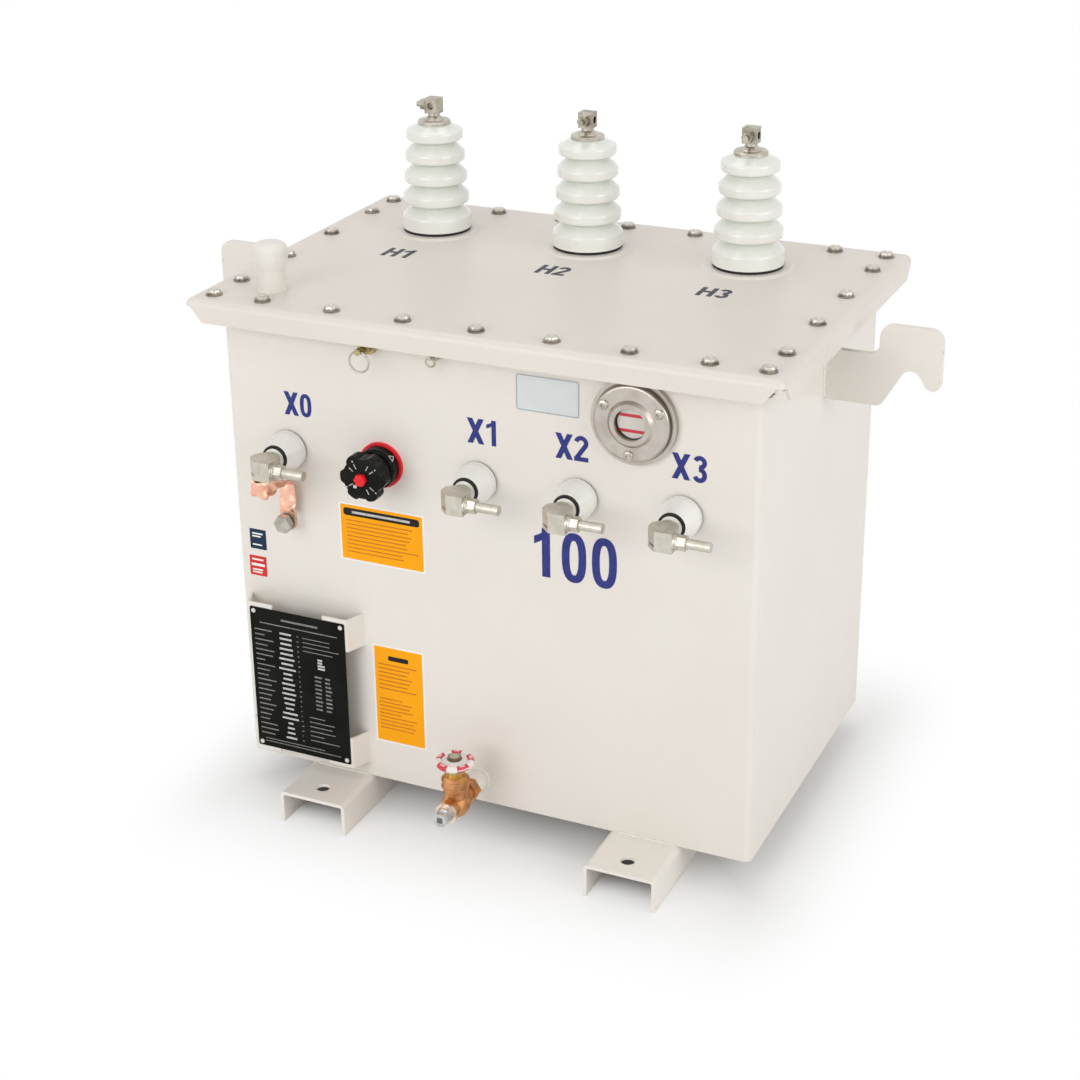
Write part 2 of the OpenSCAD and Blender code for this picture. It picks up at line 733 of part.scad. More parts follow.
// Hexagonal brass body with a neck and a stem, which has a cross hole for the ring
module relief_valve() {
    color("#b59a5a") front(relief_x, relief_z) difference() {
        union() {
            cylinder(d = relief_hex_d, h = relief_hex_t, $fn = hex);
            cylinder(d = relief_neck_d, h = relief_hex_t + relief_neck_len);
            cylinder(d = relief_stem_d, h = relief_hex_t + relief_neck_len + relief_stem_len);
        }
        translate([0, 0, relief_reach]) rotate([0, 90, 0])
            cylinder(d = relief_eye_d, h = 2 * relief_stem_d, center = true);
    }
}

// Wire ring that hangs in the stem's cross hole
module pull_ring() {
    color(tin) front(relief_x, relief_z) translate([0, -ring_d / 2, relief_reach])
        rotate_extrude() translate([ring_d / 2, 0]) circle(d = ring_wire_d);
}

// Small hexagonal plug with a fixed sealing loop on its stem
module test_plug() {
    plug_d = relief_hex_d * 0.7;
    loop_d = plug_d * 0.75;
    color("#b59a5a") front(relief_x + plug_pitch, relief_z) {
        cylinder(d = plug_d, h = relief_hex_t * 0.75, $fn = hex);
        cylinder(d = relief_stem_d * 0.7, h = relief_hex_t * 1.8);
        translate([0, -loop_d / 2, relief_hex_t * 1.5])
            rotate_extrude() translate([loop_d / 2, 0]) circle(d = ring_wire_d);
    }
}

// Four bent brackets behind the plate's corners: a flat pad, and a leg that slopes back to the wall
module plate_bracket() {
    edge = plate_w / 2;
    leg = bracket_t * 1.2;
    color(paint) front(plate_x, plate_z) for (s = [0, 1], y = [-1, 1]) mirror([s, 0, 0])
        translate([0, y * (plate_h / 2 + bracket_up - bracket_h / 2) + bracket_h / 2, 0])
            rotate([90, 0, 0]) linear_extrude(bracket_h)
                polygon([[edge - bracket_w, plate_off - bracket_t], [edge, plate_off - bracket_t],
                    [edge + ear_run - leg, 0], [edge + ear_run, 0],
                    [edge + leg, plate_off], [edge - bracket_w, plate_off]]);
}

module nameplate() {
    margin = 1;
    color(black) front(plate_x, plate_z) translate([0, 0, plate_off])
        linear_extrude(plate_t) round_rect(plate_w - 2 * margin, plate_h - 2 * margin, bracket_t);
}

// Places children on the cover at the filler
module at_filler() {
    translate([filler_in_x - cover_w / 2, tank_y + filler_in_y - cover_d / 2, cover_top]) children();
}

module filler_neck() {
    color(paint) at_filler() cylinder(d1 = filler_d + 2, d2 = filler_d - 2, h = filler_h);
}

// Screwed cap with a flared skirt and a rounded crown
module filler_cap() {
    crown = filler_cap_d / 4;
    skirt = filler_cap_h * 0.36;
    color(paint) at_filler() translate([0, 0, filler_h]) rotate_extrude() {
        polygon([[0, 0], [filler_d / 2, 0], [filler_cap_d / 2, skirt],
            [filler_cap_d / 2, filler_cap_h - crown], [0, filler_cap_h - crown]]);
        square([filler_cap_d / 2 - crown, filler_cap_h]);
        translate([filler_cap_d / 2 - crown, filler_cap_h - crown]) circle(crown);
    }
}

module drain_coupling() {
    color(paint) front(drain_x, drain_z) cylinder(d = drain_pipe_d, h = drain_coupling_len);
}

// Bronze globe body: hexagonal inlet, round belly, upright boss and outlet collar
module drain_body() {
    hex_len = drain_body_len / 5;
    collar_len = drain_body_len / 7;
    color(bronze) front(drain_x, drain_z) {
        translate([0, 0, drain_coupling_len]) {
            cylinder(d = drain_pipe_d + 5, h = hex_len, $fn = hex);
            cylinder(d = drain_pipe_d - 3, h = drain_body_len);
            translate([0, 0, drain_body_len - collar_len]) cylinder(d = drain_pipe_d, h = collar_len);
        }
        translate([0, 0, stem_reach]) {
            sphere(d = drain_belly_d);
            rotate([-90, 0, 0]) cylinder(d = nut_d - 4, h = boss_h);
        }
    }
}

// Union nut, gland and stem above the body
module drain_bonnet() {
    stem_h = gland_h + wheel_gap + wheel_h - stem_gap;
    color(bronze) translate([drain_x, front_y - stem_reach, drain_z + boss_h]) {
        cylinder(d = nut_d, h = nut_h * 0.75);
        translate([0, 0, nut_h * 0.75]) cylinder(d1 = nut_d, d2 = nut_d - nut_h * 0.5, h = nut_h * 0.25);
        translate([0, 0, nut_h]) cylinder(d = gland_d, h = gland_h, $fn = hex);
        translate([0, 0, nut_h]) cylinder(d = stem_d, h = stem_h);
    }
}

// Dished handwheel with a round rim, grip hollows and the nut that holds it
module drain_wheel() {
    rim_r = wheel_h / 2;
    grips = 5;
    color("#ecebe6") translate([drain_x, front_y - stem_reach, wheel_z]) {
        difference() {
            rotate_extrude() {
                translate([stem_d / 2 + stem_gap, 0]) square([wheel_d / 5, wheel_h]);
                translate([stem_d / 2 + stem_gap, wheel_h / 4])
                    square([wheel_d / 2 - rim_r - stem_d / 2, wheel_h / 2]);
                translate([wheel_d / 2 - rim_r, rim_r]) circle(rim_r);
            }
            for (k = [1:grips]) rotate(k * 360 / grips)
                translate([wheel_d / 2 + wheel_d / 6, 0, -wheel_h])
                    cylinder(d = wheel_d / 2.4, h = 3 * wheel_h);
        }
        translate([0, 0, wheel_h]) cylinder(d = 2.4 * stem_d, h = wheel_nut_h, $fn = hex);
    }
}

module drain_plug() {
    flange = drain_plug_len * 0.4;
    color(tin) front(drain_x, drain_z) translate([0, 0, drain_coupling_len + drain_body_len]) {
        cylinder(d = drain_pipe_d * 0.8, h = flange);
        translate([0, 0, flange]) cylinder(d = drain_pipe_d * 0.7, h = drain_plug_len - flange, $fn = hex);
    }
}

tank();
tank_flange();
cover_gasket();
cover();
skid(-1);  // skid_left
skid(1);  // skid_right
lifting_lug(-1);  // lifting_lug_left
lifting_lug(1);  // lifting_lug_right
hv_gaskets();
hv_porcelain(0);  // hv_porcelain_1
hv_porcelain(1);  // hv_porcelain_2
hv_porcelain(2);  // hv_porcelain_3
hv_caps();
hv_terminal(0, -90);  // hv_terminal_1
hv_terminal(1, 0);  // hv_terminal_2
hv_terminal(2, 0);  // hv_terminal_3
lv_seals();
lv_porcelain(lv_slots[0]);  // lv_porcelain_0
lv_porcelain(lv_slots[1]);  // lv_porcelain_1
lv_porcelain(lv_slots[2]);  // lv_porcelain_2
lv_porcelain(lv_slots[3]);  // lv_porcelain_3
lv_terminal(lv_slots[0]);  // lv_terminal_0
lv_terminal(lv_slots[1]);  // lv_terminal_1
lv_terminal(lv_slots[2]);  // lv_terminal_2
lv_terminal(lv_slots[3]);  // lv_terminal_3
ground_strap();
ground_bolt();
tap_ring();
tap_housing();
tap_knob();
tap_button();
gauge_flange();
gauge_window();
relief_valve();
pull_ring();
test_plug();
plate_bracket();
nameplate();
filler_neck();
filler_cap();
drain_coupling();
drain_body();
drain_bonnet();
drain_wheel();
drain_plug();
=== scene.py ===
import bmesh
import bpy
import numpy as np
from mathutils import Matrix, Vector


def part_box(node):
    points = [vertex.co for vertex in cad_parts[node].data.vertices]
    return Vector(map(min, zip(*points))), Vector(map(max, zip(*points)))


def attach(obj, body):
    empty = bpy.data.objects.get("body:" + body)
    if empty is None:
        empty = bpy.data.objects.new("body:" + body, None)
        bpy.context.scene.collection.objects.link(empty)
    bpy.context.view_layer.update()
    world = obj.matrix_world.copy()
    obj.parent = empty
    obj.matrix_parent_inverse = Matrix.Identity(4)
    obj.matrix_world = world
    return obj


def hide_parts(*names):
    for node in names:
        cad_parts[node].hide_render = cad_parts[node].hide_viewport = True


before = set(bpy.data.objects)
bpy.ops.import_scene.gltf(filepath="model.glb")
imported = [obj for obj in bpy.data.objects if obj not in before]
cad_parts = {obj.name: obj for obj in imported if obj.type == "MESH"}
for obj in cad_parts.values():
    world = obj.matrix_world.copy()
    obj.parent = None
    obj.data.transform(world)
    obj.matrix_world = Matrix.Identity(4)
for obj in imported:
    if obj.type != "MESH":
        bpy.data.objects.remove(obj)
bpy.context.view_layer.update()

# Tank, flange and welded fittings. Sheet steel, folded and welded, then sprayed
# with a warm off-white semi-gloss enamel that has a fine orange peel and a
# little road dust near the ground.


class Wire:
    """One output in a material's node tree. Arithmetic between wires and numbers adds Math nodes to it."""

    def __init__(self, tree, socket):
        self.tree = tree
        self.socket = socket

    def node(self, kind, settings, sockets, out=0):
        """Adds a node: its settings first, then the values or wires of its sockets. Gives one output."""
        made = self.tree.nodes.new(kind)
        for key, value in settings.items():
            setattr(made, key, value)
        for key, value in sockets.items():
            if isinstance(value, Wire):
                self.tree.links.new(value.socket, made.inputs[key])
            else:
                made.inputs[key].default_value = value
        return Wire(self.tree, made.outputs[out])

    def math(self, operation, *values):
        """One Math node on these values."""
        return self.node("ShaderNodeMath", {"operation": operation}, dict(enumerate(values)))

    def __add__(self, other):
        return self.math("ADD", self, other)

    def __sub__(self, other):
        return self.math("SUBTRACT", self, other)

    def __rsub__(self, other):
        return self.math("SUBTRACT", other, self)

    def __mul__(self, other):
        return self.math("MULTIPLY", self, other)

    def __truediv__(self, other):
        return self.math("DIVIDE", self, other)

    def __pow__(self, other):
        return self.math("POWER", self, other)

    __radd__ = __add__
    __rmul__ = __mul__

    def __abs__(self):
        return self.math("ABSOLUTE", self)

    def axis(self, k):
        """One coordinate of a place: 0, 1 or 2."""
        return self.node("ShaderNodeSeparateXYZ", {}, {"Vector": self}, k)

    def grain(self, scale, detail=2.0, rough=0.5):
        """Fractal noise from 0 to 1 at a place; scale is grains in a metre."""
        sockets = {"Vector": self, "Scale": scale, "Detail": detail, "Roughness": rough}
        return self.node("ShaderNodeTexNoise", {}, sockets)

    def step(self, low, high):
        """0 at low and 1 at high, with a smooth rise between."""
        return self.node("ShaderNodeMapRange", {"interpolation_type": "SMOOTHSTEP"},
                         {"Value": self, "From Min": low, "From Max": high})

    def tint(self, first, second):
        """The first colour where this is 0 and the second where it is 1."""
        return self.node("ShaderNodeMix", {"data_type": "RGBA"}, {0: self, 6: first, 7: second}, 2)

    def relief(self, depth):
        """Surface normal for this height, from 0 to 1, times a depth in metres."""
        return self.node("ShaderNodeBump", {}, {"Height": self, "Distance": depth, "Strength": 1.0})


def open_finish(name):
    """A material with one Principled shader. Gives the material, the place on the piece as a wire, and a
    function that sets or links the shader's sockets."""
    made = bpy.data.materials.new(name)
    made.use_nodes = True
    tree = made.node_tree
    shader = tree.nodes["Principled BSDF"]
    place = Wire(tree, tree.nodes.new("ShaderNodeTexCoord").outputs["Object"])

    def fit(**values):
        for key, value in values.items():
            socket = shader.inputs[key.replace("_", " ")]
            if isinstance(value, Wire):
                tree.links.new(value.socket, socket)
            else:
                socket.default_value = value

    return made, place, fit


dust_colour = (0.52, 0.46, 0.38, 1)
dust_height = 0.14
rub_colour = (0.46, 0.44, 0.41, 1)
peel_depth = 0.00016


def enamel(name, pale, deep, rub=None, ribs=None):
    """Sprayed enamel: slow clouds between two close tones, orange peel, dust low down, grey rubs where rub
    gives a mask, and moulded ribs where ribs gives a height."""
    made, place, fit = open_finish(name)
    colour = place.grain(2.6, 4.0, 0.6).step(0.3, 0.7).tint((*pale, 1), (*deep, 1))
    near_ground = 1 - place.axis(2).step(0.0, dust_height)
    dust = near_ground * place.grain(38, 5.0, 0.7).step(0.42, 0.75) * 0.06
    colour = dust.tint(colour, dust_colour)
    shine = 0.30 + place.grain(70, 3.0) * 0.16
    if rub is not None:
        worn = rub(place) * place.grain(95, 6.0, 0.7).step(0.60, 0.68)
        colour = worn.tint(colour, rub_colour)
        shine = shine + worn * 0.2
    peel = place.grain(330, 2.0) * 0.8 + place.grain(34, 2.0) * 0.9
    if ribs is not None:
        peel = peel + ribs(place) * 4.0
    fit(Base_Color=colour, Roughness=shine, Normal=peel.relief(peel_depth))
    return made


def clothe(finish, *names):
    """Gives CAD nodes a finish in place of their plain one."""
    for name in names:
        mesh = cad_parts[name].data
        mesh.materials.clear()
        mesh.materials.append(finish)


def corners(name):
    """Lowest and highest corner of a CAD node, and the middle between them."""
    low, high = (np.array(c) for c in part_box(name))
    return low, high, (low + high) / 2


shell_pale = (0.800, 0.762, 0.706)
shell_deep = (0.772, 0.730, 0.670)
shell_enamel = enamel("shell_enamel", shell_pale, shell_deep)
clothe(shell_enamel, "tank", "tank_flange", "plate_bracket", "filler_neck", "drain_coupling")

flange_reach = 0.030
flange_low, _, flange_mid = corners("tank_flange")
_, tank_high, _ = corners("tank")
wall_y = flange_low[1] + flange_reach
mid_y = flange_mid[1]
back_y = 2 * mid_y - wall_y
half_w = tank_high[0]
ends = (-1, 1)


def on_wall(points):
    """Wall coordinates, right, up and out from the front wall, as places in the part."""
    return np.stack([points[..., 0], wall_y - points[..., 2], points[..., 1]], -1)


def grid_faces(rows, cols, ring=True, loop=False):
    """Quads between neighbours of a grid of points. Ring closes each row, and loop joins the last row to
    the first."""
    r = np.arange(rows if loop else rows - 1)[:, None]
    c = np.arange(cols if ring else cols - 1)[None, :]
    up, across = (r + 1) % rows, (c + 1) % cols
    quad = np.broadcast_arrays(r * cols + c, r * cols + across, up * cols + across, up * cols + c)
    return np.stack(quad, -1).reshape(-1, 4)


def make_piece(name, points, faces, finish, slot, body="tank", crease=32.0):
    """One closed piece: points and quads go into a mesh, poles are merged, faces are turned outwards, and
    edges sharper than the crease, in degrees, stay crisp."""
    mesh = bpy.data.meshes.new(name)
    mesh.from_pydata(points.reshape(-1, 3).tolist(), [], faces.tolist())
    work = bmesh.new()
    work.from_mesh(mesh)
    bmesh.ops.remove_doubles(work, verts=work.verts, dist=1e-6)
    bmesh.ops.dissolve_degenerate(work, edges=work.edges, dist=1e-7)
    bmesh.ops.recalc_face_normals(work, faces=work.faces)
    work.to_mesh(mesh)
    work.free()
    mesh.materials.append(finish)
    mesh.shade_smooth()
    mesh.set_sharp_from_angle(angle=np.radians(crease))
    piece = bpy.data.objects.new(name, mesh)
    bpy.context.scene.collection.objects.link(piece)
    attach(piece, body)
    return piece


def bead(path, size, closed=False, sides=10):
    """Weld bead: a round section carried along a path, its radius swelling by 14 percent once every 1.4
    sizes and falling to nothing at open ends."""
    gap = np.roll(path, -1, 0) - path if closed else np.gradient(path, axis=0)
    ahead = gap / np.linalg.norm(gap, axis=1, keepdims=True)
    run = np.concatenate([[0], np.cumsum(np.linalg.norm(np.diff(path, axis=0), axis=1))])
    side = np.cross(ahead, np.array([0.31, 0.52, 0.79]))
    side /= np.linalg.norm(side, axis=1, keepdims=True)
    rise = np.cross(ahead, side)
    a = np.linspace(0, 2 * np.pi, sides, endpoint=False)[:, None]
    r = size * (1 + 0.14 * np.sin(run * 2 * np.pi / (1.4 * size)))
    if not closed:
        count = np.arange(len(path))
        r = r * np.clip(np.minimum(count, count[::-1]) / 3, 0, 1)
    points = path[:, None] + r[:, None, None] * (side[:, None] * np.cos(a) + rise[:, None] * np.sin(a))
    return points, grid_faces(len(path), sides, loop=closed)


def line(start, end, pitch=0.0012):
    """Evenly spaced points from start to end."""
    count = int(np.linalg.norm(end - start) / pitch) + 2
    return start + np.linspace(0, 1, count)[:, None] * (end - start)


def wall_circle(middle, radius, count=96):
    """Points of a circle on the front wall, round the place of a fitting."""
    a = np.linspace(0, 2 * np.pi, count, endpoint=False)
    x, z = middle[0] + radius * np.cos(a), middle[2] + radius * np.sin(a)
    return np.stack([x, np.full(count, wall_y), z], -1)


def join(parts):
    """Several point and face arrays as one mesh."""
    sizes = np.cumsum([0] + [p.reshape(-1, 3).shape[0] for p, f in parts])
    points = np.concatenate([p.reshape(-1, 3) for p, f in parts])
    return points, np.concatenate([f + s for (p, f), s in zip(parts, sizes)])


skid_low, skid_high, skid_mid = corners("skid_right")
lug_low, lug_high, _ = corners("lifting_lug_right")
pipe_low, pipe_high, pipe_mid = corners("drain_coupling")
_, pad_high, pad_mid = corners("ground_bolt")
seam_inset = 0.009
seam_lift = 0.0004
lug_seam_length = 0.069
pad_weld_r = 0.0156
skid_half = (skid_high[0] - skid_low[0]) / 2
skid_seam = np.array([(-1, 0, 0), (1, 0, 0)]) * (skid_half - seam_inset)
skid_seat = skid_high[2] + seam_lift
lug_seam = np.array([(0, 0, 0), (0, 0, lug_seam_length)])
pipe_weld_r = (pipe_high[0] - pipe_low[0]) / 2 + 0.0008
beads = [bead(line(*(skid_seam + (s * skid_mid[0], y, skid_seat))), 0.0026)
         for s in ends for y in (wall_y, back_y)]
beads += [bead(line(*(lug_seam + (s * half_w, y, lug_low[2]))), 0.0032)
          for s in ends for y in (lug_low[1], lug_high[1])]
beads.append(bead(wall_circle(pipe_mid, pipe_weld_r), 0.0026, True))
beads.append(bead(wall_circle(pad_mid, pad_weld_r), 0.0020, True))
make_piece("weld_beads", *join(beads), shell_enamel, "tank_paint", crease=60.0)

# Skids and lifting lugs. Folded channel and flame-cut plate under the same
# enamel, with grey rubs on the edges that take chains, forks and the floor.
# The skids' tones are painted lighter than the tank's, as painted light that
# makes up for the dimmer light near the floor.
lug_reach = lug_high[0]
# Painted light: these skid tones are lighter than the tank's enamel to offset the shade near the floor.
skid_enamel_brightened = enamel("skid_enamel_brightened", (0.845, 0.812, 0.758), (0.810, 0.772, 0.712),
                     lambda p: 1 - p.axis(2).step(0.001, 0.007))
clothe(skid_enamel_brightened, "skid_left", "skid_right")
lug_enamel = enamel("lug_enamel", shell_pale, shell_deep,
                    lambda p: abs(p.axis(0)).step(lug_reach - 0.006, lug_reach))
clothe(lug_enamel, "lifting_lug_left", "lifting_lug_right")

# Cover. One sheet with turned-down lips, sprayed like the tank and a shade
# duller on top; hexagon bolts with washers hold it down on a black gasket.
lip_drop = 0.031
cover_low, cover_high, _ = corners("cover")
lip_edge = cover_low[2]
cover_top = lip_edge + lip_drop
cover_enamel = enamel("cover_enamel", (0.765, 0.712, 0.655), (0.735, 0.684, 0.624),
                      lambda p: (1 - p.axis(2).step(lip_edge + 0.0005, lip_edge + 0.002)) * 0.8)
clothe(cover_enamel, "cover")


def rubber(name):
    """Black rubber: near black, matt, with a fine moulding grain."""
    made, place, fit = open_finish(name)
    cloud = place.grain(60, 3.0).step(0.3, 0.8)
    fit(Base_Color=cloud.tint((0.012, 0.012, 0.012, 1), (0.028, 0.027, 0.026, 1)),
        Roughness=0.55 + place.grain(240, 2.0) * 0.25, Specular_IOR_Level=0.3,
        Normal=place.grain(900, 2.0).relief(0.0001))
    return made


clothe(rubber("seal_rubber"), "cover_gasket", "hv_gaskets", "lv_seals")


def turned(r, z, flats=None, sides=36):
    """Rings of radius r at heights z round the Z axis, in millimetres. Where flats is finite, a hexagon with
    that distance to its flats cuts the ring."""
    r, z = np.asarray(r, float), np.asarray(z, float)
    a = np.linspace(0, 2 * np.pi, sides, endpoint=False)
    flats = np.full(len(r), np.inf) if flats is None else np.asarray(flats, float)
    hexagon = flats[:, None] / np.cos(a % (np.pi / 3) - np.pi / 6)
    reach = np.minimum(r[:, None], hexagon)
    height = np.broadcast_to(z[:, None], reach.shape)
    return np.stack([reach * np.cos(a), reach * np.sin(a), height], -1) / 1000, grid_faces(len(r), sides)


def copies(shape, places, turns):
    """A shape, turned about Z by each turn and set down at each place, as one mesh."""
    points, faces = shape[0].reshape(-1, 3), shape[1]
    places = np.asarray(places, float)
    c, s = np.cos(turns)[:, None], np.sin(turns)[:, None]
    x = c * points[:, 0] - s * points[:, 1] + places[:, :1]
    y = s * points[:, 0] + c * points[:, 1] + places[:, 1:2]
    z = points[:, 2] + places[:, 2:]
    count = np.arange(len(places))[:, None, None] * len(points)
    return np.stack([x, y, z], -1).reshape(-1, 3), (faces[None] + count).reshape(-1, 4)


bolt_inset = 0.030
front_pitch = 0.104
side_pitch = 0.122
bolt_x = cover_high[0] - bolt_inset
bolt_y = (cover_high[1] - cover_low[1]) / 2 - bolt_inset
row = np.concatenate([[-bolt_x], np.arange(-3, 4) * front_pitch, [bolt_x]])
column = (np.arange(4) - 1.5) * side_pitch
spots = np.concatenate([[(x, mid_y + s * bolt_y, cover_top) for x in row for s in ends],
                        [(s * bolt_x, mid_y + y, cover_top) for y in column for s in ends]])
free = np.inf
head = turned([0, 10.9, 11.3, 11.3, 10.9, 9.7, 9.7, 9.7, 8.2, 4.2, 3.2, 0],
              [0, 0, 0.4, 1.4, 1.8, 1.8, 1.9, 5.6, 6.9, 7.1, 6.3, 6.2],
              [free, free, free, free, free, free, 8.4, 8.4, 8.4, free, free, free])
tail = turned([0, 5.8, 5.8, 10.4, 10.4, 9.4, 5.9, 5.9, 5.2, 0],
              [0.5, 0.5, -17.5, -17.5, -26.5, -27.5, -27.5, -31, -32, -32],
              [free, free, free, 9, 9, 9, free, free, free, free])
golden_turn = 2.399
turns = np.arange(len(spots)) * golden_turn
bolt_metal, place, fit = open_finish("bolt_metal")
patch = place.grain(75, 5.0, 0.65).step(0.35, 0.7)
# Painted light: the flanks, washers and tails get dark tones as painted shade, and the tops of the heads
# blend to a pale tone as a painted highlight.
shaded_flank = patch.tint((0.36, 0.32, 0.275, 1), (0.17, 0.146, 0.12, 1))
crown = place.axis(2).step(cover_top + 0.0024, cover_top + 0.0066)
fit(Base_Color=crown.tint(shaded_flank, (0.58, 0.545, 0.490, 1)), Metallic=1.0, Roughness=0.28 + patch * 0.16,
    Normal=place.grain(520, 3.0).relief(0.00002))
make_piece("cover_bolts", *join([copies(head, spots, turns), copies(tail, spots, turns)]), bolt_metal,
           "tinned_metal")

# Filler. A screwed cap of the same enamel with fine grip ribs round its crown
# closes the neck that is welded into the cover.
_, cap_high, cap_mid = corners("filler_cap")
rib_count = 44


def cap_ribs(place):
    """Height of the grip ribs: a cosine of the angle round the cap, in a band below the crown."""
    angle = place.math("ARCTAN2", place.axis(1) - cap_mid[1], place.axis(0) - cap_mid[0])
    below = cap_high[2] - place.axis(2)
    band = (1 - below.step(0.020, 0.024)) * below.step(0.005, 0.009)
    return (place.math("COSINE", angle * rib_count) * 0.3 + 0.3) * band


cap_enamel = enamel("cap_enamel", (0.815, 0.785, 0.735), (0.785, 0.752, 0.700), ribs=cap_ribs)
clothe(cap_enamel, "filler_cap")

# High-voltage bushings. Wet-process porcelain with a pale glaze that pools a
# little greener in the grooves; a tinned cap and a cast clamp stand on top.
first_low, first_high, first_mid = corners("hv_porcelain_1")
_, _, second_mid = corners("hv_porcelain_2")
row_pitch = second_mid[0] - first_mid[0]
foot_r = (first_high[0] - first_low[0]) / 2
taper = 0.010
glaze, place, fit = open_finish("bushing_glaze")
across = place.math("WRAP", place.axis(0) - second_mid[0], row_pitch / 2, -row_pitch / 2)
along = place.axis(1) - first_mid[1]
rise = (place.axis(2) - first_low[2]) / (first_high[2] - first_low[2])
depth = foot_r - rise * taper - (across * across + along * along) ** 0.5
colour = place.grain(24, 3.0).step(0.3, 0.7).tint((0.832, 0.834, 0.788, 1), (0.798, 0.800, 0.750, 1))
colour = (depth.step(0.002, 0.012) * 0.85).tint(colour, (0.745, 0.782, 0.712, 1))
colour = (place.grain(620, 1.0).step(0.755, 0.80) * 0.4).tint(colour, (0.34, 0.30, 0.23, 1))
fit(Base_Color=colour, Roughness=0.16 + place.grain(45, 2.0) * 0.10, Coat_Weight=0.6, Coat_Roughness=0.06,
    Normal=place.grain(60, 2.0).relief(0.00012))
clothe(glaze, "hv_porcelain_1", "hv_porcelain_2", "hv_porcelain_3")


def plated(name, bright, dull, polish=0.32, cast=0.00006):
    """Tin or zinc plate on metal: two close greys in small clouds, dull patches and a light casting grain."""
    made, place, fit = open_finish(name)
    patch = place.grain(75, 5.0, 0.65).step(0.35, 0.7)
    fit(Base_Color=patch.tint((*bright, 1), (*dull, 1)), Metallic=1.0,
        Roughness=polish + patch * 0.14 + place.grain(420, 2.0) * 0.08,
        Normal=place.grain(520, 3.0).relief(cast))
    return made


cap_metal = plated("cap_metal", (0.58, 0.545, 0.475), (0.40, 0.365, 0.305), 0.30, 0.00012)
clothe(cap_metal, "hv_caps")
eye_metal = plated("eye_metal", (0.46, 0.435, 0.360), (0.27, 0.245, 0.190), 0.28, 0.00012)
clothe(eye_metal, "hv_terminal_1", "hv_terminal_2", "hv_terminal_3")


def stroke(path, width, closed=False, side=None, thick=0.3):
    """Flat stroke in its own plane, in millimetres: a rectangle of the given width and thickness carried
    along a path, square to it or along side where that is given. Open ends are closed by their middle."""
    path = np.asarray(path, float)
    ahead = np.roll(path, -1, 0) - np.roll(path, 1, 0) if closed else np.gradient(path, axis=0)
    ahead = ahead / np.linalg.norm(ahead, axis=1, keepdims=True)
    square = np.stack([-ahead[:, 1], ahead[:, 0]], -1)
    across = square if side is None else np.broadcast_to(side, path.shape)
    flat = path[:, None] + across[:, None] * (np.array([-0.5, 0.5, 0.5, -0.5]) * width)[:, None]
    depth = np.broadcast_to(np.array([0, 0, thick, thick])[:, None], flat.shape[:2] + (1,))
    points = np.concatenate([flat, depth], -1)
    if not closed:
        tips = np.concatenate([path[[0, -1]], np.full((2, 1), thick / 2)], -1)[:, None]
        tips = np.broadcast_to(tips, (2, 4, 3))
        points = np.concatenate([tips[:1], points, tips[1:]])
    return points, grid_faces(len(points), 4, loop=closed)


def arc(x, y, a, b, start, end, count=20):
    """Points on an ellipse round x and y, from one angle to another, in degrees."""
    t = np.radians(np.linspace(start, end, count))
    return np.stack([x + a * np.cos(t), y + b * np.sin(t)], -1)


def character(kind, x, y, w, h, brush):
    """Strokes of one stencilled character, in millimetres, in a box with its lower left corner at x and y.
    A zero is a superellipse, twos and threes are arcs, and later strokes lie a little thicker."""
    a, e = (w - brush) / 2, brush / 2
    lean = brush * 1.28
    if kind == "0":
        t = np.radians(np.linspace(0, 360, 48, endpoint=False))
        round_x, round_y = (np.sign(v) * np.abs(v) ** 0.78 for v in (np.cos(t), np.sin(t)))
        strokes = [stroke(np.stack([w / 2 + a * round_x, h / 2 + (h / 2 - e) * round_y], -1), brush, True)]
    elif kind == "1":
        flag = [(w - e, h * 0.90), (w * 0.38, h * 0.80), (0, h * 0.735)]
        strokes = [stroke([(w - e, 0), (w - e, h)], brush), stroke(flag, h * 0.155, side=(0, 1))]
    elif kind == "2":
        hook = arc(w / 2, h * 0.72, a, h * 0.28 - e, 168, -28)
        swan = np.concatenate([hook, [(brush * 0.62, brush * 0.8)]])
        strokes = [stroke(swan, brush), stroke([(0, e), (w, e)], brush)]
    elif kind == "3":
        strokes = [stroke(arc(w / 2, h * 0.745, a * 0.94, h * 0.255 - e, 160, -100), brush),
                   stroke(arc(w / 2, h * 0.285, a, h * 0.285 - e, 100, -160), brush)]
    elif kind == "H":
        strokes = [stroke([(e, 0), (e, h)], brush), stroke([(w - e, 0), (w - e, h)], brush),
                   stroke([(e, h * 0.52), (w - e, h * 0.52)], brush * 0.9)]
    else:
        strokes = [stroke([(lean / 2, 0), (w - lean / 2, h)], lean, side=(1, 0)),
                   stroke([(lean / 2, h), (w - lean / 2, 0)], lean, side=(1, 0))]
    return [(p * [1, 1, 1 + 0.15 * k] + [x, y, 0], f) for k, (p, f) in enumerate(strokes)]


def stencil(*marks):
    """Strokes of several characters."""
    return [part for mark in marks for part in character(*mark)]


def marking(name, pale, deep):
    """Flat marking paint: two close tones, thin in small spots."""
    made, place, fit = open_finish(name)
    fit(Base_Color=place.grain(140, 4.0, 0.7).step(0.3, 0.75).tint((*pale, 1), (*deep, 1)),
        Roughness=0.42 + place.grain(200, 2.0) * 0.15, Specular_IOR_Level=0.2,
        Normal=place.grain(330, 2.0).relief(0.0001))
    return made


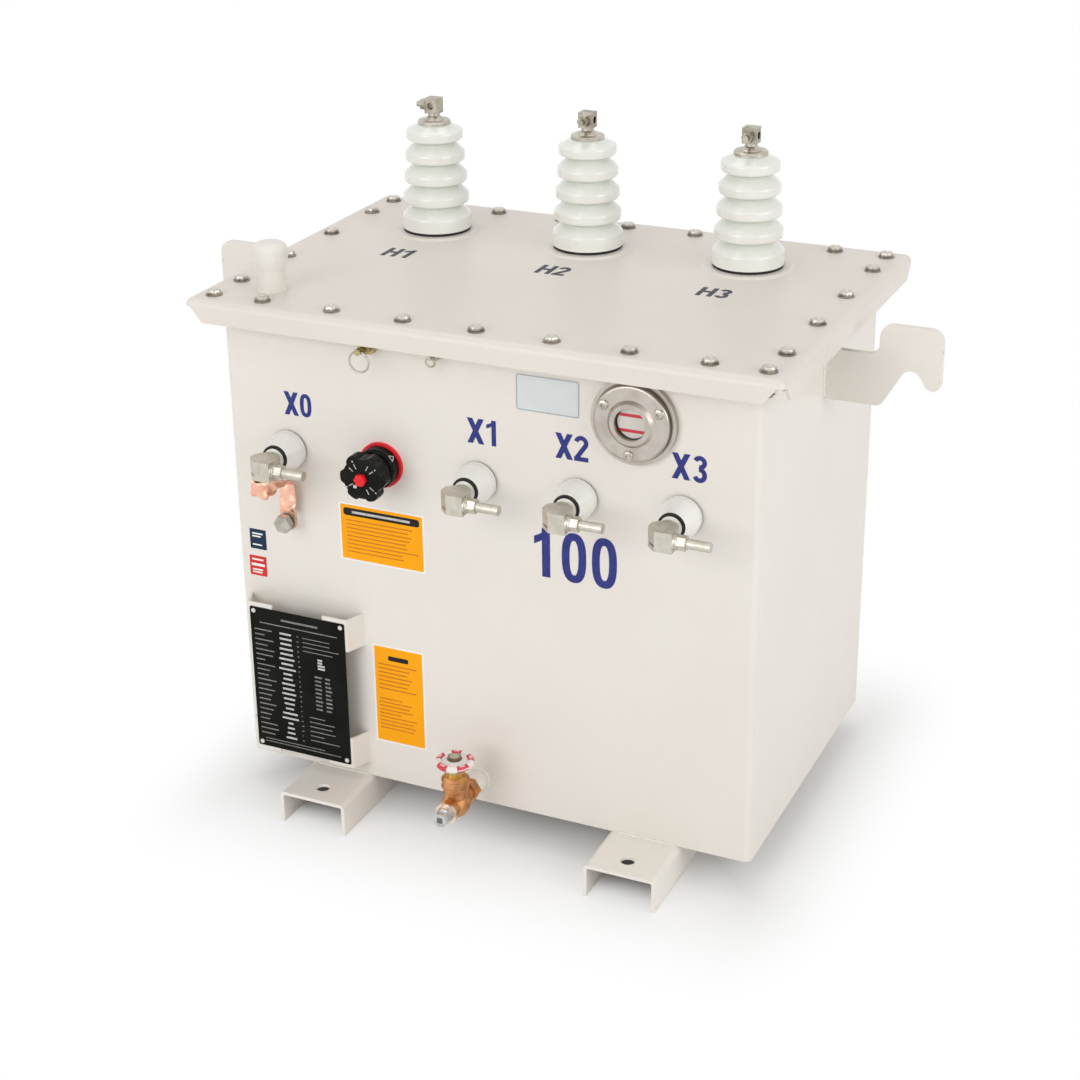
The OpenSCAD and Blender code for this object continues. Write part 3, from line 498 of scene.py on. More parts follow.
slate_mark = marking("slate_mark", (0.070, 0.078, 0.100), (0.040, 0.046, 0.062))
paint_lift = 0.05
points, faces = join(stencil(("H", -269, -8, 22, 37, 6.5), ("1", -243, -8, 14, 37, 6.5),
                             ("H", -36, 0, 22, 37, 6.5), ("2", -10.5, 0, 18, 37, 6.0),
                             ("H", 201, -9, 22, 36, 6.5), ("3", 226, -9, 18, 36, 6.0)))
make_piece("terminal_marks_high", (points + [0, 0, paint_lift]) / 1000 + [0, mid_y, cover_top], faces,
           slate_mark, "tank_paint")

# Low-voltage bushings. Smooth cream porcelain domes on thin black seals; each
# has a tinned clamp that spreads from a hexagon neck, a nut and a stud.
dome_glaze, place, fit = open_finish("dome_glaze")
colour = place.grain(30, 3.0).step(0.3, 0.7).tint((0.862, 0.858, 0.826, 1), (0.836, 0.828, 0.790, 1))
fit(Base_Color=colour, Roughness=0.15 + place.grain(50, 2.0) * 0.08, Coat_Weight=0.5, Coat_Roughness=0.05,
    Normal=place.grain(70, 2.0).relief(0.0001))
clothe(dome_glaze, "lv_porcelain_0", "lv_porcelain_1", "lv_porcelain_2", "lv_porcelain_3")
clamp_metal = plated("clamp_metal", (0.62, 0.59, 0.52), (0.52, 0.49, 0.42), 0.36, 0.00008)
clothe(clamp_metal, "lv_terminal_0", "lv_terminal_1", "lv_terminal_2", "lv_terminal_3")


def stick(name, parts, finish, slot="tank_paint", body="tank", origin=(0, 0, 0)):
    """One thin piece from parts in wall millimetres: right, up and out from an origin on the front wall."""
    points, faces = join(parts)
    make_piece(name, on_wall((points + origin) / 1000), faces, finish, slot, body)


blue_mark = marking("blue_mark", (0.036, 0.046, 0.235), (0.027, 0.033, 0.180))
blue_marks = stencil(("X", -292, 580.5, 22, 33, 5.6), ("0", -267.5, 580.5, 17.3, 33, 5.6),
                     ("X", -19, 582.5, 24, 34.5, 6.0), ("1", 8.6, 582.5, 13.5, 35, 6.3),
                     ("X", 105.3, 581, 24, 34.5, 6.0), ("2", 131.2, 581, 19.4, 34.7, 6.0),
                     ("X", 262.9, 579, 24.3, 34.5, 6.0), ("3", 290.2, 578, 19, 36, 6.0),
                     ("1", 73.8, 410.5, 22.6, 69, 11.5), ("0", 113, 409.4, 34.3, 70.5, 10.8),
                     ("0", 155.3, 409.4, 34.6, 71, 10.8))
stick("terminal_marks_low", blue_marks, blue_mark, origin=(0, 0, paint_lift))

# Ground strap and its bolt. Soft copper strip, crumpled and bent by hand from
# the neutral clamp to a welded pad, under a tinned bolt with a spring washer.
strap_low, strap_high, strap_mid = corners("ground_strap")
half_skin = 0.0015
tab_z = strap_high[2] - half_skin
fold_z = tab_z - 0.0235
foot_z = strap_low[2]
near = wall_y - strap_high[1] + half_skin
far = wall_y - strap_low[1] - half_skin
bends = np.array([(far - 0.028, tab_z), (far, tab_z), (far - 0.004, fold_z), (near + 0.012, fold_z + 0.004),
                  (near, fold_z - 0.004), (near, foot_z)])


def strap_shape(half_width=0.0128, half_thick=0.0009, pitch=0.0008, sides=48):
    """Crumpled strip: a rounded rectangle carried along the bends, whose corners are averaged over 10 mm,
    and pushed out of its plane by crossing folds: absolute values of sines of the run and the width."""
    run = np.concatenate([[0], np.cumsum(np.linalg.norm(np.diff(bends, axis=0), axis=1))])
    s = np.arange(0, run[-1], pitch)
    longer = np.arange(-0.010, run[-1] + 0.010, pitch)
    out = np.interp(longer, run, bends[:, 0]) + np.minimum(longer, 0)
    up = np.interp(longer, run, bends[:, 1]) - np.maximum(longer - run[-1], 0)
    soft = np.hanning(13) / np.hanning(13).sum()
    path = np.stack([np.interp(s, longer, np.convolve(v, soft, "same")) for v in (out, up)], -1)
    ahead = np.gradient(path, axis=0)
    ahead /= np.linalg.norm(ahead, axis=1, keepdims=True)
    normal = np.stack([-ahead[:, 1], ahead[:, 0]], -1)
    t = np.linspace(0, 2 * np.pi, sides, endpoint=False)
    u = half_width * np.sign(np.cos(t)) * np.abs(np.cos(t)) ** 0.55
    v = half_thick * np.sign(np.sin(t)) * np.abs(np.sin(t)) ** 0.35
    k, m = s[:, None] * 1000, u[None] * 1000
    folds = 1.5 * np.abs(np.sin(k / 7.3 + m / 9.1)) + 1.3 * np.abs(np.sin(k / 10.7 - m / 6.3 + 0.9))
    folds = (1.3 * folds + 0.9 * np.sin(k / 4.1 + m / 4.7) - 2.4) / 1000
    loose = np.clip((s - 0.012) / 0.010, 0, 1) * np.clip((run[-1] - 0.020 - s) / 0.008, 0, 1)
    push = v[None] + folds * loose[:, None]
    waist = 1 - 0.10 * np.sin(s / 0.0115) ** 2 * loose
    sway = 0.0016 * np.sin(s / 0.017) * loose
    reach = path[:, None] + normal[:, None] * push[..., None]
    x = strap_mid[0] + u[None] * waist[:, None] + sway[:, None]
    rows = np.stack([x, wall_y - reach[..., 0], reach[..., 1]], -1)
    tips = rows[[0, -1]].mean(1, keepdims=True) + np.zeros((2, sides, 3))
    rows = np.concatenate([tips[:1], rows, tips[1:]])
    return rows, grid_faces(len(rows), sides)


copper, place, fit = open_finish("strap_copper")
tarnish = place.grain(55, 5.0, 0.65).step(0.35, 0.72)
dents = place.grain(110, 3.0) + place.grain(600, 2.0) * 0.15
fit(Base_Color=tarnish.tint((0.93, 0.56, 0.42, 1), (0.84, 0.43, 0.30, 1)), Metallic=1.0,
    Roughness=0.30 + tarnish * 0.14, Normal=dents.relief(0.0011))
strap = make_piece("copper_strap", *strap_shape(), copper, "copper", crease=50.0)
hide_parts("ground_strap")
bolt_tin, place, fit = open_finish("bolt_tin")
from_wall = pad_high[1] - place.axis(1)
# Painted shade: a near-black band from 3 to 6 mm out from the bolt's back face stands for the shadow in the
# gap at the spring washer.
washer_gap_shade = from_wall.step(0.0028, 0.0032) * (1 - from_wall.step(0.0058, 0.0062))
colour = place.grain(75, 5.0, 0.65).step(0.35, 0.7).tint((0.56, 0.53, 0.47, 1), (0.38, 0.35, 0.30, 1))
fit(Base_Color=washer_gap_shade.tint(colour, (0.07, 0.06, 0.05, 1)), Metallic=1.0,
    Roughness=0.32 + place.grain(90, 3.0) * 0.2, Normal=place.grain(520, 3.0).relief(0.0001))
clothe(bolt_tin, "ground_bolt")

# Tap changer. Moulded red and black plastic: a ring at the wall, a collared
# housing and a lobed hand knob with a red button and pale radial strokes that
# are partly position ticks and partly painted glints.
black_mould, place, fit = open_finish("black_mould")
cloud = place.grain(40, 4.0).step(0.3, 0.75)
texture = place.grain(90, 3.0) + place.grain(700, 2.0) * 0.2
fit(Base_Color=cloud.tint((0.0045, 0.0048, 0.0036, 1), (0.0105, 0.0108, 0.0085, 1)),
    Roughness=0.20 + place.grain(160, 3.0) * 0.16, Specular_IOR_Level=0.10, Normal=texture.relief(0.0003))
clothe(black_mould, "tap_housing", "tap_knob")
red_mould, place, fit = open_finish("red_mould")
cloud = place.grain(60, 3.0).step(0.3, 0.7)
fit(Base_Color=cloud.tint((0.84, 0.022, 0.034, 1), (0.74, 0.016, 0.026, 1)),
    Roughness=0.28 + place.grain(180, 3.0) * 0.12, Specular_IOR_Level=0.25,
    Normal=place.grain(600, 2.0).relief(0.00006))
clothe(red_mould, "tap_ring", "tap_button")


def round_path(x0, x1, y0, y1, r):
    """Rectangle with round corners as a closed path: quarter circles round four middles."""
    quarter = np.arange(4)[:, None]
    a = np.radians(quarter * 90 + np.linspace(0, 90, 7))
    x = (x0 + x1) / 2 + ((x1 - x0) / 2 - r) * np.array([1, -1, -1, 1])[:, None] + r * np.cos(a)
    y = (y0 + y1) / 2 + ((y1 - y0) / 2 - r) * np.array([1, 1, -1, -1])[:, None] + r * np.sin(a)
    return np.stack([x.ravel(), y.ravel()], -1)


def tile(x0, x1, y0, y1, r, thick, base=0.0):
    """Thin plate with round corners: its outline at the back and at the front, each closed by a point in
    its middle."""
    rim = round_path(x0, x1, y0, y1, r)
    mid = np.broadcast_to([(x0 + x1) / 2, (y0 + y1) / 2], rim.shape)
    level = np.array([base, base, base + thick, base + thick])[:, None, None]
    flat = np.stack([mid, rim, rim, mid])
    points = np.concatenate([flat, np.broadcast_to(level, flat.shape[:2] + (1,))], -1)
    return points, grid_faces(4, len(rim))


def wall_mm(x, y, z):
    """A place in the part as wall millimetres: right, up and out."""
    return np.array([x, z, wall_y - y]) * 1000


pale_print = marking("pale_print", (0.62, 0.61, 0.58), (0.44, 0.43, 0.41))
knob_low, _, knob_mid = corners("tap_knob")
# Pale strokes on the knob face: partly position ticks, partly painted glints where the glossy knob catches
# the light.
spin = np.radians([38, 62, 118, 142, 212, 298, 322])
ray = np.stack([np.cos(spin), np.sin(spin)], -1)
ticks_and_glints = [stroke([r * 15.0, r * 22.5], 1.1, thick=0.2) for r in ray]
ticks_and_glints += [stroke([r * 25.0, r * 27.5], 1.6, thick=0.2) for r in ray[::2]]
ticks_and_glints.append(tile(-12.5, -7.5, -14.0, -9.5, 0.8, 0.2))
knob_face = wall_mm(knob_mid[0], knob_low[1], knob_mid[2])
stick("knob_ticks_and_glints", ticks_and_glints, pale_print, "black_plastic", "knob", knob_face)
_, _, house_mid = corners("tap_housing")
house_r = 28.0
pointer_turn = np.radians(38)
pointer_out = 12.5
pointer = np.array([(-4.4, -3.2), (4.4, -3.2), (0.0, 4.6)])
edge = (np.roll(pointer, -1, 0) - pointer)[:, None]
outline = pointer[:, None] + np.linspace(0, 1, 8, endpoint=False)[:, None] * edge
flat, faces = stroke(outline.reshape(-1, 2), 1.3, True, thick=0.25)
bend = pointer_turn - flat[..., 0] / house_r
radius = house_r + flat[..., 2]
bent = np.stack([radius * np.cos(bend), radius * np.sin(bend), pointer_out - flat[..., 1]], -1)
stick("housing_pointer", [(bent, faces)], pale_print, "black_plastic",
      origin=wall_mm(house_mid[0], wall_y, house_mid[2]))

# Oil gauge. Stepped flange turned from warm grey steel and held by three
# screws; behind the window stands a pale plate with two red level lines.
_, _, gauge_mid = corners("gauge_flange")
steel, place, fit = open_finish("turned_steel")
across, up = place.axis(0) - gauge_mid[0], place.axis(2) - gauge_mid[2]
ring = (across * across + up * up) ** 0.5
groove_rate = 5200
phase = ring * groove_rate + place.grain(30, 2.0) * 2.0
lathe = phase.math("SINE", phase) * 0.5 + 0.5
# Painted shade and painted reflection: a dark ring is blended into the colour round the side wall of the
# raised disc.
corner = ring.step(0.0498, 0.0509) * (1 - ring.step(0.0516, 0.0530)) * 0.75
colour = place.grain(40, 4.0).step(0.3, 0.7).tint((0.56, 0.515, 0.46, 1), (0.45, 0.405, 0.355, 1))
fit(Base_Color=corner.tint(colour, (0.17, 0.148, 0.125, 1)), Metallic=1.0,
    Roughness=0.26 + lathe * 0.10 + place.grain(120, 3.0) * 0.08, Normal=lathe.relief(0.00003))
clothe(steel, "gauge_flange")
sight, place, fit = open_finish("gauge_sight")
across, up = place.axis(0) - gauge_mid[0], place.axis(2) - gauge_mid[2]
# Painted shade: an off-centre circle leaves a near-black crescent at the window's edge for the shadow in the
# recess round the plate.
crescent_x, crescent_z = across - 0.0010, up - 0.0008
recess_shade_ring = (crescent_x * crescent_x + crescent_z * crescent_z) ** 0.5
level_lines = 1 - abs(abs(up) - 0.0102).step(0.0019, 0.0024)
colour = (place.grain(60, 3.0) * 0.4).tint((0.66, 0.63, 0.58, 1), (0.56, 0.52, 0.47, 1))
colour = level_lines.tint(colour, (0.58, 0.012, 0.040, 1))
colour = recess_shade_ring.step(0.0198, 0.0204).tint(colour, (0.022, 0.026, 0.020, 1))
fit(Base_Color=colour, Roughness=0.16 + place.grain(20, 2.0) * 0.04, Coat_Weight=0.3, Coat_Roughness=0.02,
    Normal=place.grain(14, 2.0).relief(0.0002))
clothe(sight, "gauge_window")
screw = turned([0, 6.7, 6.7, 5.9, 4.3, 2.5, 2.5, 0], [0, 0, 1.2, 2.4, 3.0, 3.1, 1.4, 1.4],
               [free, free, free, free, free, free, 2.2, free], 24)
screw_circle_r = 0.0420
face_out = 0.016
screw_turns = np.radians([150, 27, 266])
screw_x, screw_z = screw_circle_r * np.cos(screw_turns), screw_circle_r * np.sin(screw_turns)
points, faces = copies(screw, np.column_stack([screw_x, screw_z, np.full(3, face_out)]), screw_turns)
screw_metal = plated("screw_metal", (0.58, 0.54, 0.48), (0.38, 0.34, 0.29), 0.24, 0.00002)
make_piece("gauge_screws", on_wall(points + [gauge_mid[0], gauge_mid[2], 0]), faces, screw_metal,
           "gauge_steel")

# Relief valve, pull ring and test plug. A machined brass valve with a drawn
# steel wire ring, and a small nickelled plug with a fixed loop beside it.
brass, place, fit = open_finish("machined_brass")
patch = place.grain(90, 4.0).step(0.35, 0.7)
fit(Base_Color=patch.tint((0.52, 0.43, 0.21, 1), (0.32, 0.25, 0.11, 1)), Metallic=1.0,
    Roughness=0.26 + patch * 0.16, Normal=place.grain(500, 2.0).relief(0.00005))
clothe(brass, "relief_valve")
clothe(plated("plug_nickel", (0.58, 0.53, 0.44), (0.38, 0.33, 0.26), 0.26), "test_plug")
clothe(plated("ring_wire", (0.55, 0.53, 0.49), (0.42, 0.40, 0.36), 0.22), "pull_ring")

# Nameplate. Black enamelled sheet with pale printed rows, riveted to four
# bent brackets.
plate_black, place, fit = open_finish("plate_black")
cloud = place.grain(26, 4.0).step(0.3, 0.75)
fit(Base_Color=cloud.tint((0.0052, 0.0055, 0.0044, 1), (0.0100, 0.0102, 0.0086, 1)),
    Roughness=0.36 + place.grain(140, 3.0) * 0.16, Specular_IOR_Level=0.06,
    Normal=place.grain(420, 2.0).relief(0.00008))
clothe(plate_black, "nameplate")


def bars(boxes, base, thick):
    """Raised print, in millimetres: one flat block for each row of left, right, low and high."""
    boxes = np.asarray(boxes, float)
    x, y = boxes[:, [0, 1, 1, 0]], boxes[:, [2, 2, 3, 3]]
    low = np.stack([x, y, np.full_like(x, base)], -1)
    points = np.concatenate([low, low + [0, 0, thick]], 1)
    quads = np.array([[0, 3, 2, 1], [4, 5, 6, 7], [0, 1, 5, 4], [1, 2, 6, 5], [2, 3, 7, 6], [3, 0, 4, 7]])
    faces = quads[None] + 8 * np.arange(len(boxes))[:, None, None]
    return points.reshape(-1, 3), faces.reshape(-1, 4)


def rows_of(left, right, top, bottom, count, thick, seed, ragged, align=0.0):
    """Boxes of printed rows between two heights, each as long as a fixed sequence of fractions says, set to
    the left at align 0 and to the middle at 0.5."""
    k = np.arange(count)
    middle = top - (k + 0.5) * (top - bottom) / count
    share = 1 - ragged * (np.sin(k * 12.9898 + seed) * 43758.5453 % 1.0)
    start = left + (right - left) * (1 - share) * align
    return np.stack([start, start + (right - left) * share, middle - thick / 2, middle + thick / 2], -1)


plate_low, plate_high, _ = corners("nameplate")
plate_left, plate_bottom, plate_face = wall_mm(*plate_low)
plate_right, plate_top, _ = wall_mm(*plate_high)


def plate_rows(left, right, top, bottom, *style):
    """Printed rows placed in fractions of the plate's width and height from its upper left corner."""
    wide, tall = plate_right - plate_left, plate_top - plate_bottom
    return rows_of(plate_left + left * wide, plate_left + right * wide, plate_top - top * tall,
                   plate_top - bottom * tall, *style)


dim_rows = np.concatenate([plate_rows(0.33, 0.72, 0.045, 0.075, 1, 3.0, 1, 0),
                           plate_rows(0.10, 0.92, 0.092, 0.112, 1, 1.6, 2, 0),
                           plate_rows(0.04, 0.25, 0.135, 0.92, 22, 1.9, 3, 0.6),
                           plate_rows(0.49, 0.515, 0.135, 0.92, 22, 1.6, 4, 0.5),
                           plate_rows(0.55, 0.94, 0.14, 0.26, 4, 1.3, 5, 0.3),
                           plate_rows(0.66, 0.74, 0.40, 0.66, 9, 2.6, 6, 0.2),
                           plate_rows(0.77, 0.84, 0.40, 0.66, 9, 2.6, 7, 0.3),
                           plate_rows(0.58, 0.93, 0.70, 0.90, 6, 1.5, 8, 0.6),
                           plate_rows(0.08, 0.90, 0.93, 0.97, 2, 1.3, 9, 0.3)])
bright_rows = np.concatenate([plate_rows(0.28, 0.46, 0.135, 0.92, 22, 2.9, 10, 0.75, 0.5),
                              plate_rows(0.70, 0.79, 0.28, 0.36, 4, 3.0, 11, 0.5)])
dim_print = marking("dim_print", (0.26, 0.25, 0.24), (0.15, 0.145, 0.14))
stick("plate_print_dim", [bars(dim_rows, plate_face, 0.12)], dim_print, "plate_black")
stick("plate_print_bright", [bars(bright_rows, plate_face, 0.12)], pale_print, "plate_black")
rivet_inset = 0.006
rivet = turned([0, 3.4, 3.3, 2.6, 1.4, 0], [0, 0, 0.7, 1.5, 1.9, 2.0], sides=18)
rivet_spots = [(x, z, plate_face / 1000) for x in (plate_low[0] + rivet_inset, plate_high[0] - rivet_inset)
               for z in (plate_low[2] + rivet_inset, plate_high[2] - rivet_inset)]
points, faces = copies(rivet, rivet_spots, np.zeros(4))
rivet_white = marking("rivet_white", (0.74, 0.72, 0.68), (0.60, 0.58, 0.54))
make_piece("plate_rivets", on_wall(points), faces, rivet_white, "tinned_metal")

# Labels on the front wall. Thin films in plain colours, glued flat on the
# enamel and printed with bars in rows.


def sheet_finish(name, pale, deep):
    """Printed film: two close tones, a soft sheen and slight ripples from the glue."""
    made, place, fit = open_finish(name)
    fit(Base_Color=place.grain(18, 4.0, 0.6).step(0.3, 0.7).tint((*pale, 1), (*deep, 1)),
        Roughness=0.34 + place.grain(90, 3.0) * 0.12, Specular_IOR_Level=0.15,
        Normal=place.grain(28, 2.0).relief(0.0004))
    return made


orange = sheet_finish("orange_film", (0.98, 0.405, 0.004), (0.96, 0.380, 0.004))
cream = sheet_finish("cream_film", (0.92, 0.91, 0.88), (0.88, 0.87, 0.84))
dark_print = marking("dark_print", (0.008, 0.0075, 0.0065), (0.016, 0.0145, 0.0125))
rust_print = marking("rust_print", (0.62, 0.205, 0.010), (0.50, 0.150, 0.010))
stick("tap_label_edge", [tile(-216, -87, 381, 466, 3.0, 0.30)], cream)
stick("tap_label", [tile(-213.5, -89.5, 383.5, 463.5, 1.5, 0.45)], orange)
stick("tap_label_head", [tile(-209, -94, 448, 459, 4.0, 0.16, 0.45)], dark_print)
stick("tap_label_head_rows", [bars(rows_of(-196, -108, 456.5, 450.5, 1, 3.4, 1, 0.0), 0.61, 0.1)], pale_print)
stick("tap_label_rows", [bars(rows_of(-205, -93, 444, 392, 9, 1.5, 4, 0.25), 0.45, 0.12)], rust_print)
stick("tall_label_edge", [tile(-174, -95, 108, 260, 2.0, 0.30)], cream)
stick("tall_label", [tile(-171.5, -97.5, 110.5, 257.5, 1.0, 0.45)], orange)
stick("tall_label_head", [tile(-150, -119, 238, 245, 1.5, 0.16, 0.45)], dark_print)
stick("tall_label_rows", [bars(rows_of(-166, -103, 234, 190, 7, 1.7, 6, 0.3), 0.45, 0.12),
                          bars(rows_of(-166, -103, 180, 128, 9, 1.5, 8, 0.5), 0.45, 0.12)], rust_print)
stick("pale_plate", [tile(51, 139, 638, 688, 4.0, 0.5)],
      sheet_finish("pale_film", (0.700, 0.735, 0.735), (0.660, 0.695, 0.700)))
stick("pale_plate_line", [stroke(round_path(52.6, 137.4, 639.6, 686.4, 3.2), 1.1, True, thick=0.62)],
      marking("grey_print", (0.36, 0.39, 0.40), (0.28, 0.31, 0.32)))
stick("blue_sticker", [tile(-361, -335, 371, 401, 1.0, 0.35)],
      sheet_finish("blue_film", (0.013, 0.036, 0.080), (0.010, 0.028, 0.062)))
stick("blue_sticker_rows", [bars(rows_of(-357, -339, 396.5, 388, 2, 2.2, 3, 0.3), 0.35, 0.1),
                            bars(rows_of(-357, -339, 380, 375, 1, 2.0, 5, 0.2), 0.35, 0.1)], cream)
stick("red_sticker_edge", [tile(-364, -337, 330, 360, 1.0, 0.35)],
      sheet_finish("red_film", (0.72, 0.045, 0.040), (0.62, 0.035, 0.032)))
stick("red_sticker_rows", [bars([(-361, -340, 344.5, 348.5)], 0.35, 0.1),
                           bars(rows_of(-360, -341, 357, 352, 1, 2.6, 3, 0.2), 0.35, 0.1),
                           bars(rows_of(-360, -341, 341, 333, 2, 2.2, 4, 0.3), 0.35, 0.1)], cream)

# Drain valve. Sand-cast bronze body, machined bonnet with a brass gland, steel
# outlet plug and a white cast handwheel with red grip pads.


def cast_bronze(name, accent, mask):
    """Cast bronze: warm metal with brown patina in small clouds, and an accent colour where the mask says."""
    made, place, fit = open_finish(name)
    patina = place.grain(70, 5.0, 0.65).step(0.35, 0.72)
    part = mask(place)
    colour = patina.tint((0.67, 0.335, 0.145, 1), (0.41, 0.180, 0.068, 1))
    fit(Base_Color=part.tint(colour, accent), Metallic=1.0, Roughness=0.32 + patina * 0.18 - part * 0.08,
        Normal=place.grain(380, 3.0).relief(0.00025))
    return made


body_low, _, _ = corners("drain_body")
bonnet_low, bonnet_high, bonnet_mid = corners("drain_bonnet")
outlet_y = body_low[1] + 0.0035
gland_z = bonnet_low[2] + 0.0138
body_bronze = cast_bronze("body_bronze", (0.86, 0.68, 0.55, 1),
                          lambda p: 1 - p.axis(1).step(outlet_y, outlet_y + 0.0015))
clothe(body_bronze, "drain_body")
bonnet_bronze = cast_bronze("bonnet_bronze", (0.50, 0.39, 0.14, 1),
                            lambda p: p.axis(2).step(gland_z, gland_z + 0.0006))
clothe(bonnet_bronze, "drain_bonnet")


def collar(radius, height):
    """Ring with bevelled edges, in millimetres: 1 mm proud of a radius, 3 mm high and closed on its axis."""
    return turned([0, radius + 0.2, radius + 1.0, radius + 1.0, radius + 0.2, 0],
                  np.array([0, 0, 0.6, 2.4, 3.0, 3.0]) + height)


nut_r = (bonnet_high[0] - bonnet_low[0]) * 500
points, faces = join([collar(nut_r - 2.2, -11.0), collar(nut_r, -3.2), collar(nut_r, 6.8)])
make_piece("bonnet_collars", points + [bonnet_mid[0], bonnet_mid[1], bonnet_low[2]], faces, bonnet_bronze,
           "bronze")
clothe(plated("plug_steel", (0.62, 0.62, 0.61), (0.40, 0.40, 0.39), 0.26, 0.00014), "drain_plug")
plug_low, _, plug_mid = corners("drain_plug")
# Painted shade: a dark flat tile on the plug's end stands for the shadowed recess of a square socket, which
# is not cut.
socket_shade = plated("socket_shade", (0.19, 0.19, 0.185), (0.09, 0.09, 0.088))
stick("plug_socket_shade", [tile(-4.2, 4.2, -4.2, 4.2, 0.8, 0.15)], socket_shade, "tinned_metal",
      origin=wall_mm(plug_mid[0], plug_low[1], plug_mid[2]))
_, wheel_high, wheel_mid = corners("drain_wheel")
half_pad = np.pi / 5
pad_r = 0.0222
wheel_enamel, place, fit = open_finish("wheel_enamel")
across, along = place.axis(0) - wheel_mid[0], place.axis(1) - wheel_mid[1]
ring = (across * across + along * along) ** 0.5
angle = place.math("ARCTAN2", along, across)
lobe = abs(place.math("WRAP", angle - half_pad, half_pad, -half_pad)) / 0.36
pad = place.math("MAXIMUM", lobe, abs(ring - pad_r) / 0.0046)
red = (1 - pad.step(0.92, 1.0)) * (0.35 + 0.65 * pad.step(0.42, 0.55))
nut = (1 - ring.step(0.0100, 0.0106)) * place.axis(2).step(wheel_high[2] - 0.0044, wheel_high[2] - 0.0040)
nut_colour = ring.step(0.0062, 0.0074).tint((0.50, 0.455, 0.385, 1), (0.19, 0.148, 0.098, 1))
colour = place.grain(60, 4.0).tint((0.83, 0.815, 0.79, 1), (0.77, 0.75, 0.72, 1))
colour = red.tint(colour, (0.66, 0.030, 0.075, 1))
fit(Base_Color=nut.tint(colour, nut_colour), Metallic=nut * 0.8,
    Roughness=0.28 + place.grain(150, 3.0) * 0.12, Normal=place.grain(300, 2.0).relief(0.00012))
clothe(wheel_enamel, "drain_wheel")

# Studio: a wide pale floor, a white surround, soft lamps at the front and
# the right, and a camera at the photograph's viewing angle.
floor_z = -0.0005
span = np.linspace(-14, 14, 9)
points = np.stack(np.broadcast_arrays(span[:, None], span[None, :], floor_z), -1)
floor_mesh = bpy.data.meshes.new("floor")
floor_mesh.from_pydata(points.reshape(-1, 3).tolist(), [], grid_faces(9, 9, ring=False)[:, ::-1].tolist())
floor = bpy.data.objects.new("floor", floor_mesh)
bpy.context.scene.collection.objects.link(floor)
floor_paint, place, fit = open_finish("floor_paint")
past_x = abs(place.axis(0)) - half_w
past_y = abs(place.axis(1) - mid_y) - (mid_y - wall_y)
beyond_x = place.math("MAXIMUM", past_x, 0.0) * 1.7
beyond_y = place.math("MAXIMUM", past_y, 0.0)
away = (beyond_x * beyond_x + beyond_y * beyond_y) ** 0.5
# Painted shadow: the floor's colour is darkened to grey under the tank and under the skids, and the white
# fade-out is held off there.
shadow_under_tank = 1 - place.math("MAXIMUM", past_x, past_y).step(-0.13, 0.03)
beside = abs(abs(place.axis(0)) - skid_mid[0]) - skid_half
ahead = abs(place.axis(1) - mid_y) - (skid_high[1] - skid_low[1]) / 2
shadow_under_skid = (1 - beside.step(-0.004, 0.002)) * (1 - ahead.step(-0.07, -0.01))
painted_shadow = place.math("MAXIMUM", shadow_under_tank, shadow_under_skid)
fit(Base_Color=painted_shadow.tint((0.86, 0.86, 0.86, 1), (0.50, 0.50, 0.50, 1)), Roughness=0.5)
seen = place.node("ShaderNodeLightPath", {}, {}, "Is Camera Ray")
mirrored = place.node("ShaderNodeLightPath", {}, {}, "Is Glossy Ray")
white = place.node("ShaderNodeEmission", {}, {"Color": (1, 1, 1, 1), "Strength": 1.0})
clear = away.step(-0.12, 0.26) * (1 - painted_shadow) * place.math("MINIMUM", seen + mirrored, 1.0)
tree = floor_paint.node_tree
surface = Wire(tree, tree.nodes["Principled BSDF"].outputs[0])
mixed = place.node("ShaderNodeMixShader", {}, {0: clear, 1: surface, 2: white})
tree.links.new(mixed.socket, tree.nodes["Material Output"].inputs["Surface"])
floor_mesh.materials.append(floor_paint)

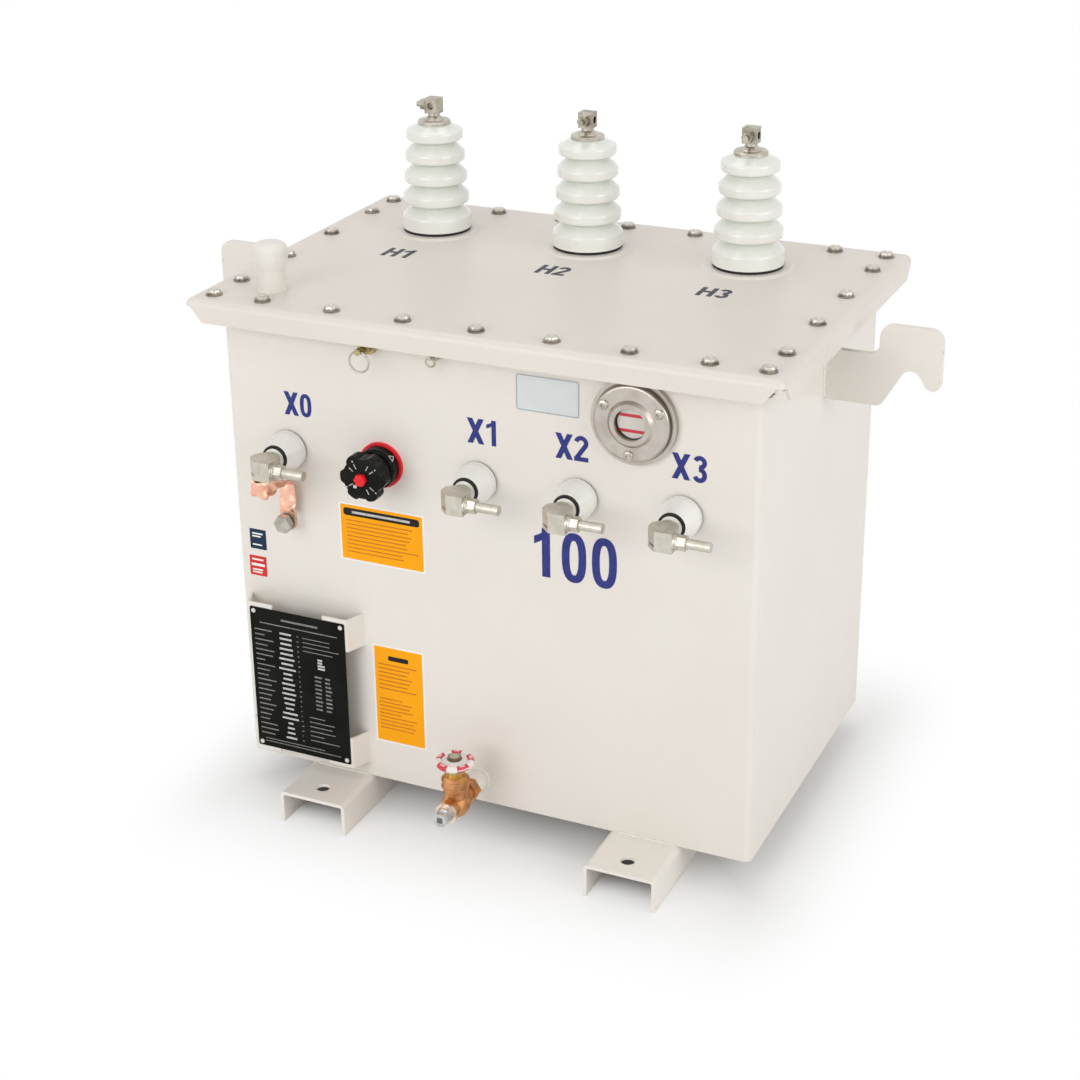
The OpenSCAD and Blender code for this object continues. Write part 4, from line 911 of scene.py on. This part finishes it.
world = bpy.data.worlds.new("studio")
world.use_nodes = True
bpy.context.scene.world = world
tree = world.node_tree
seen = Wire(tree, tree.nodes.new("ShaderNodeLightPath").outputs["Is Camera Ray"])
mirrored = seen.node("ShaderNodeLightPath", {}, {}, "Is Glossy Ray")
through = seen.node("ShaderNodeLightPath", {}, {}, "Is Transmission Ray")
rays = seen.math("MINIMUM", seen + mirrored + through, 1.0)
surround = seen.node("ShaderNodeBackground", {}, {"Color": (1, 1, 1, 1), "Strength": 1.0})
ambient = seen.node("ShaderNodeBackground", {}, {"Color": (1, 0.99, 0.975, 1), "Strength": 0.60})
both = seen.node("ShaderNodeMixShader", {}, {0: rays, 1: ambient, 2: surround})
tree.links.new(both.socket, tree.nodes["World Output"].inputs["Surface"])


def lamp(name, place, aim, size, power):
    """Square soft lamp that faces a point."""
    light = bpy.data.lights.new(name, "AREA")
    light.shape = "SQUARE"
    light.size = size
    light.energy = power
    back = np.array(place, float) - aim
    back /= np.linalg.norm(back)
    side = np.cross((0, 0, 1), back)
    side /= np.linalg.norm(side)
    pose = np.column_stack([side, np.cross(back, side), back, place])
    holder = bpy.data.objects.new(name, light)
    holder.matrix_world = Matrix(pose.tolist() + [[0, 0, 0, 1]])
    bpy.context.scene.collection.objects.link(holder)


lamp("front_lamp", (-1.1, -3.6, 1.7), (0, 0, 0.35), 2.4, 49)
lamp("right_lamp", (3.4, -0.9, 1.6), (0, 0, 0.35), 2.2, 39)
lamp("top_lamp", (-0.6, 0.6, 3.4), (0, 0, 0.6), 2.2, 16)

turn, tilt, roll = np.radians([24.80, 22.925, -0.70])
distance = 2.9643
aim_shift = -0.0272
aim_height = 0.4374
back = np.array([np.sin(turn) * np.cos(tilt), -np.cos(turn) * np.cos(tilt), np.sin(tilt)])
level = np.array([np.cos(turn), np.sin(turn), 0.0])
upright = np.cross(back, level)
side = np.cos(roll) * level + np.sin(roll) * upright
rise = np.cos(roll) * upright - np.sin(roll) * level
eye = aim_shift * level + [0, mid_y, aim_height] + distance * back
lens = bpy.data.cameras.new("camera")
lens.sensor_width = 36.0
lens.lens = 70.08
lens.shift_y = -60 / 1080
camera = bpy.data.objects.new("camera", lens)
camera.matrix_world = Matrix(np.column_stack([side, rise, back, eye]).tolist() + [[0, 0, 0, 1]])
bpy.context.scene.collection.objects.link(camera)
bpy.context.scene.camera = camera
bpy.context.scene.view_settings.view_transform = "Standard"
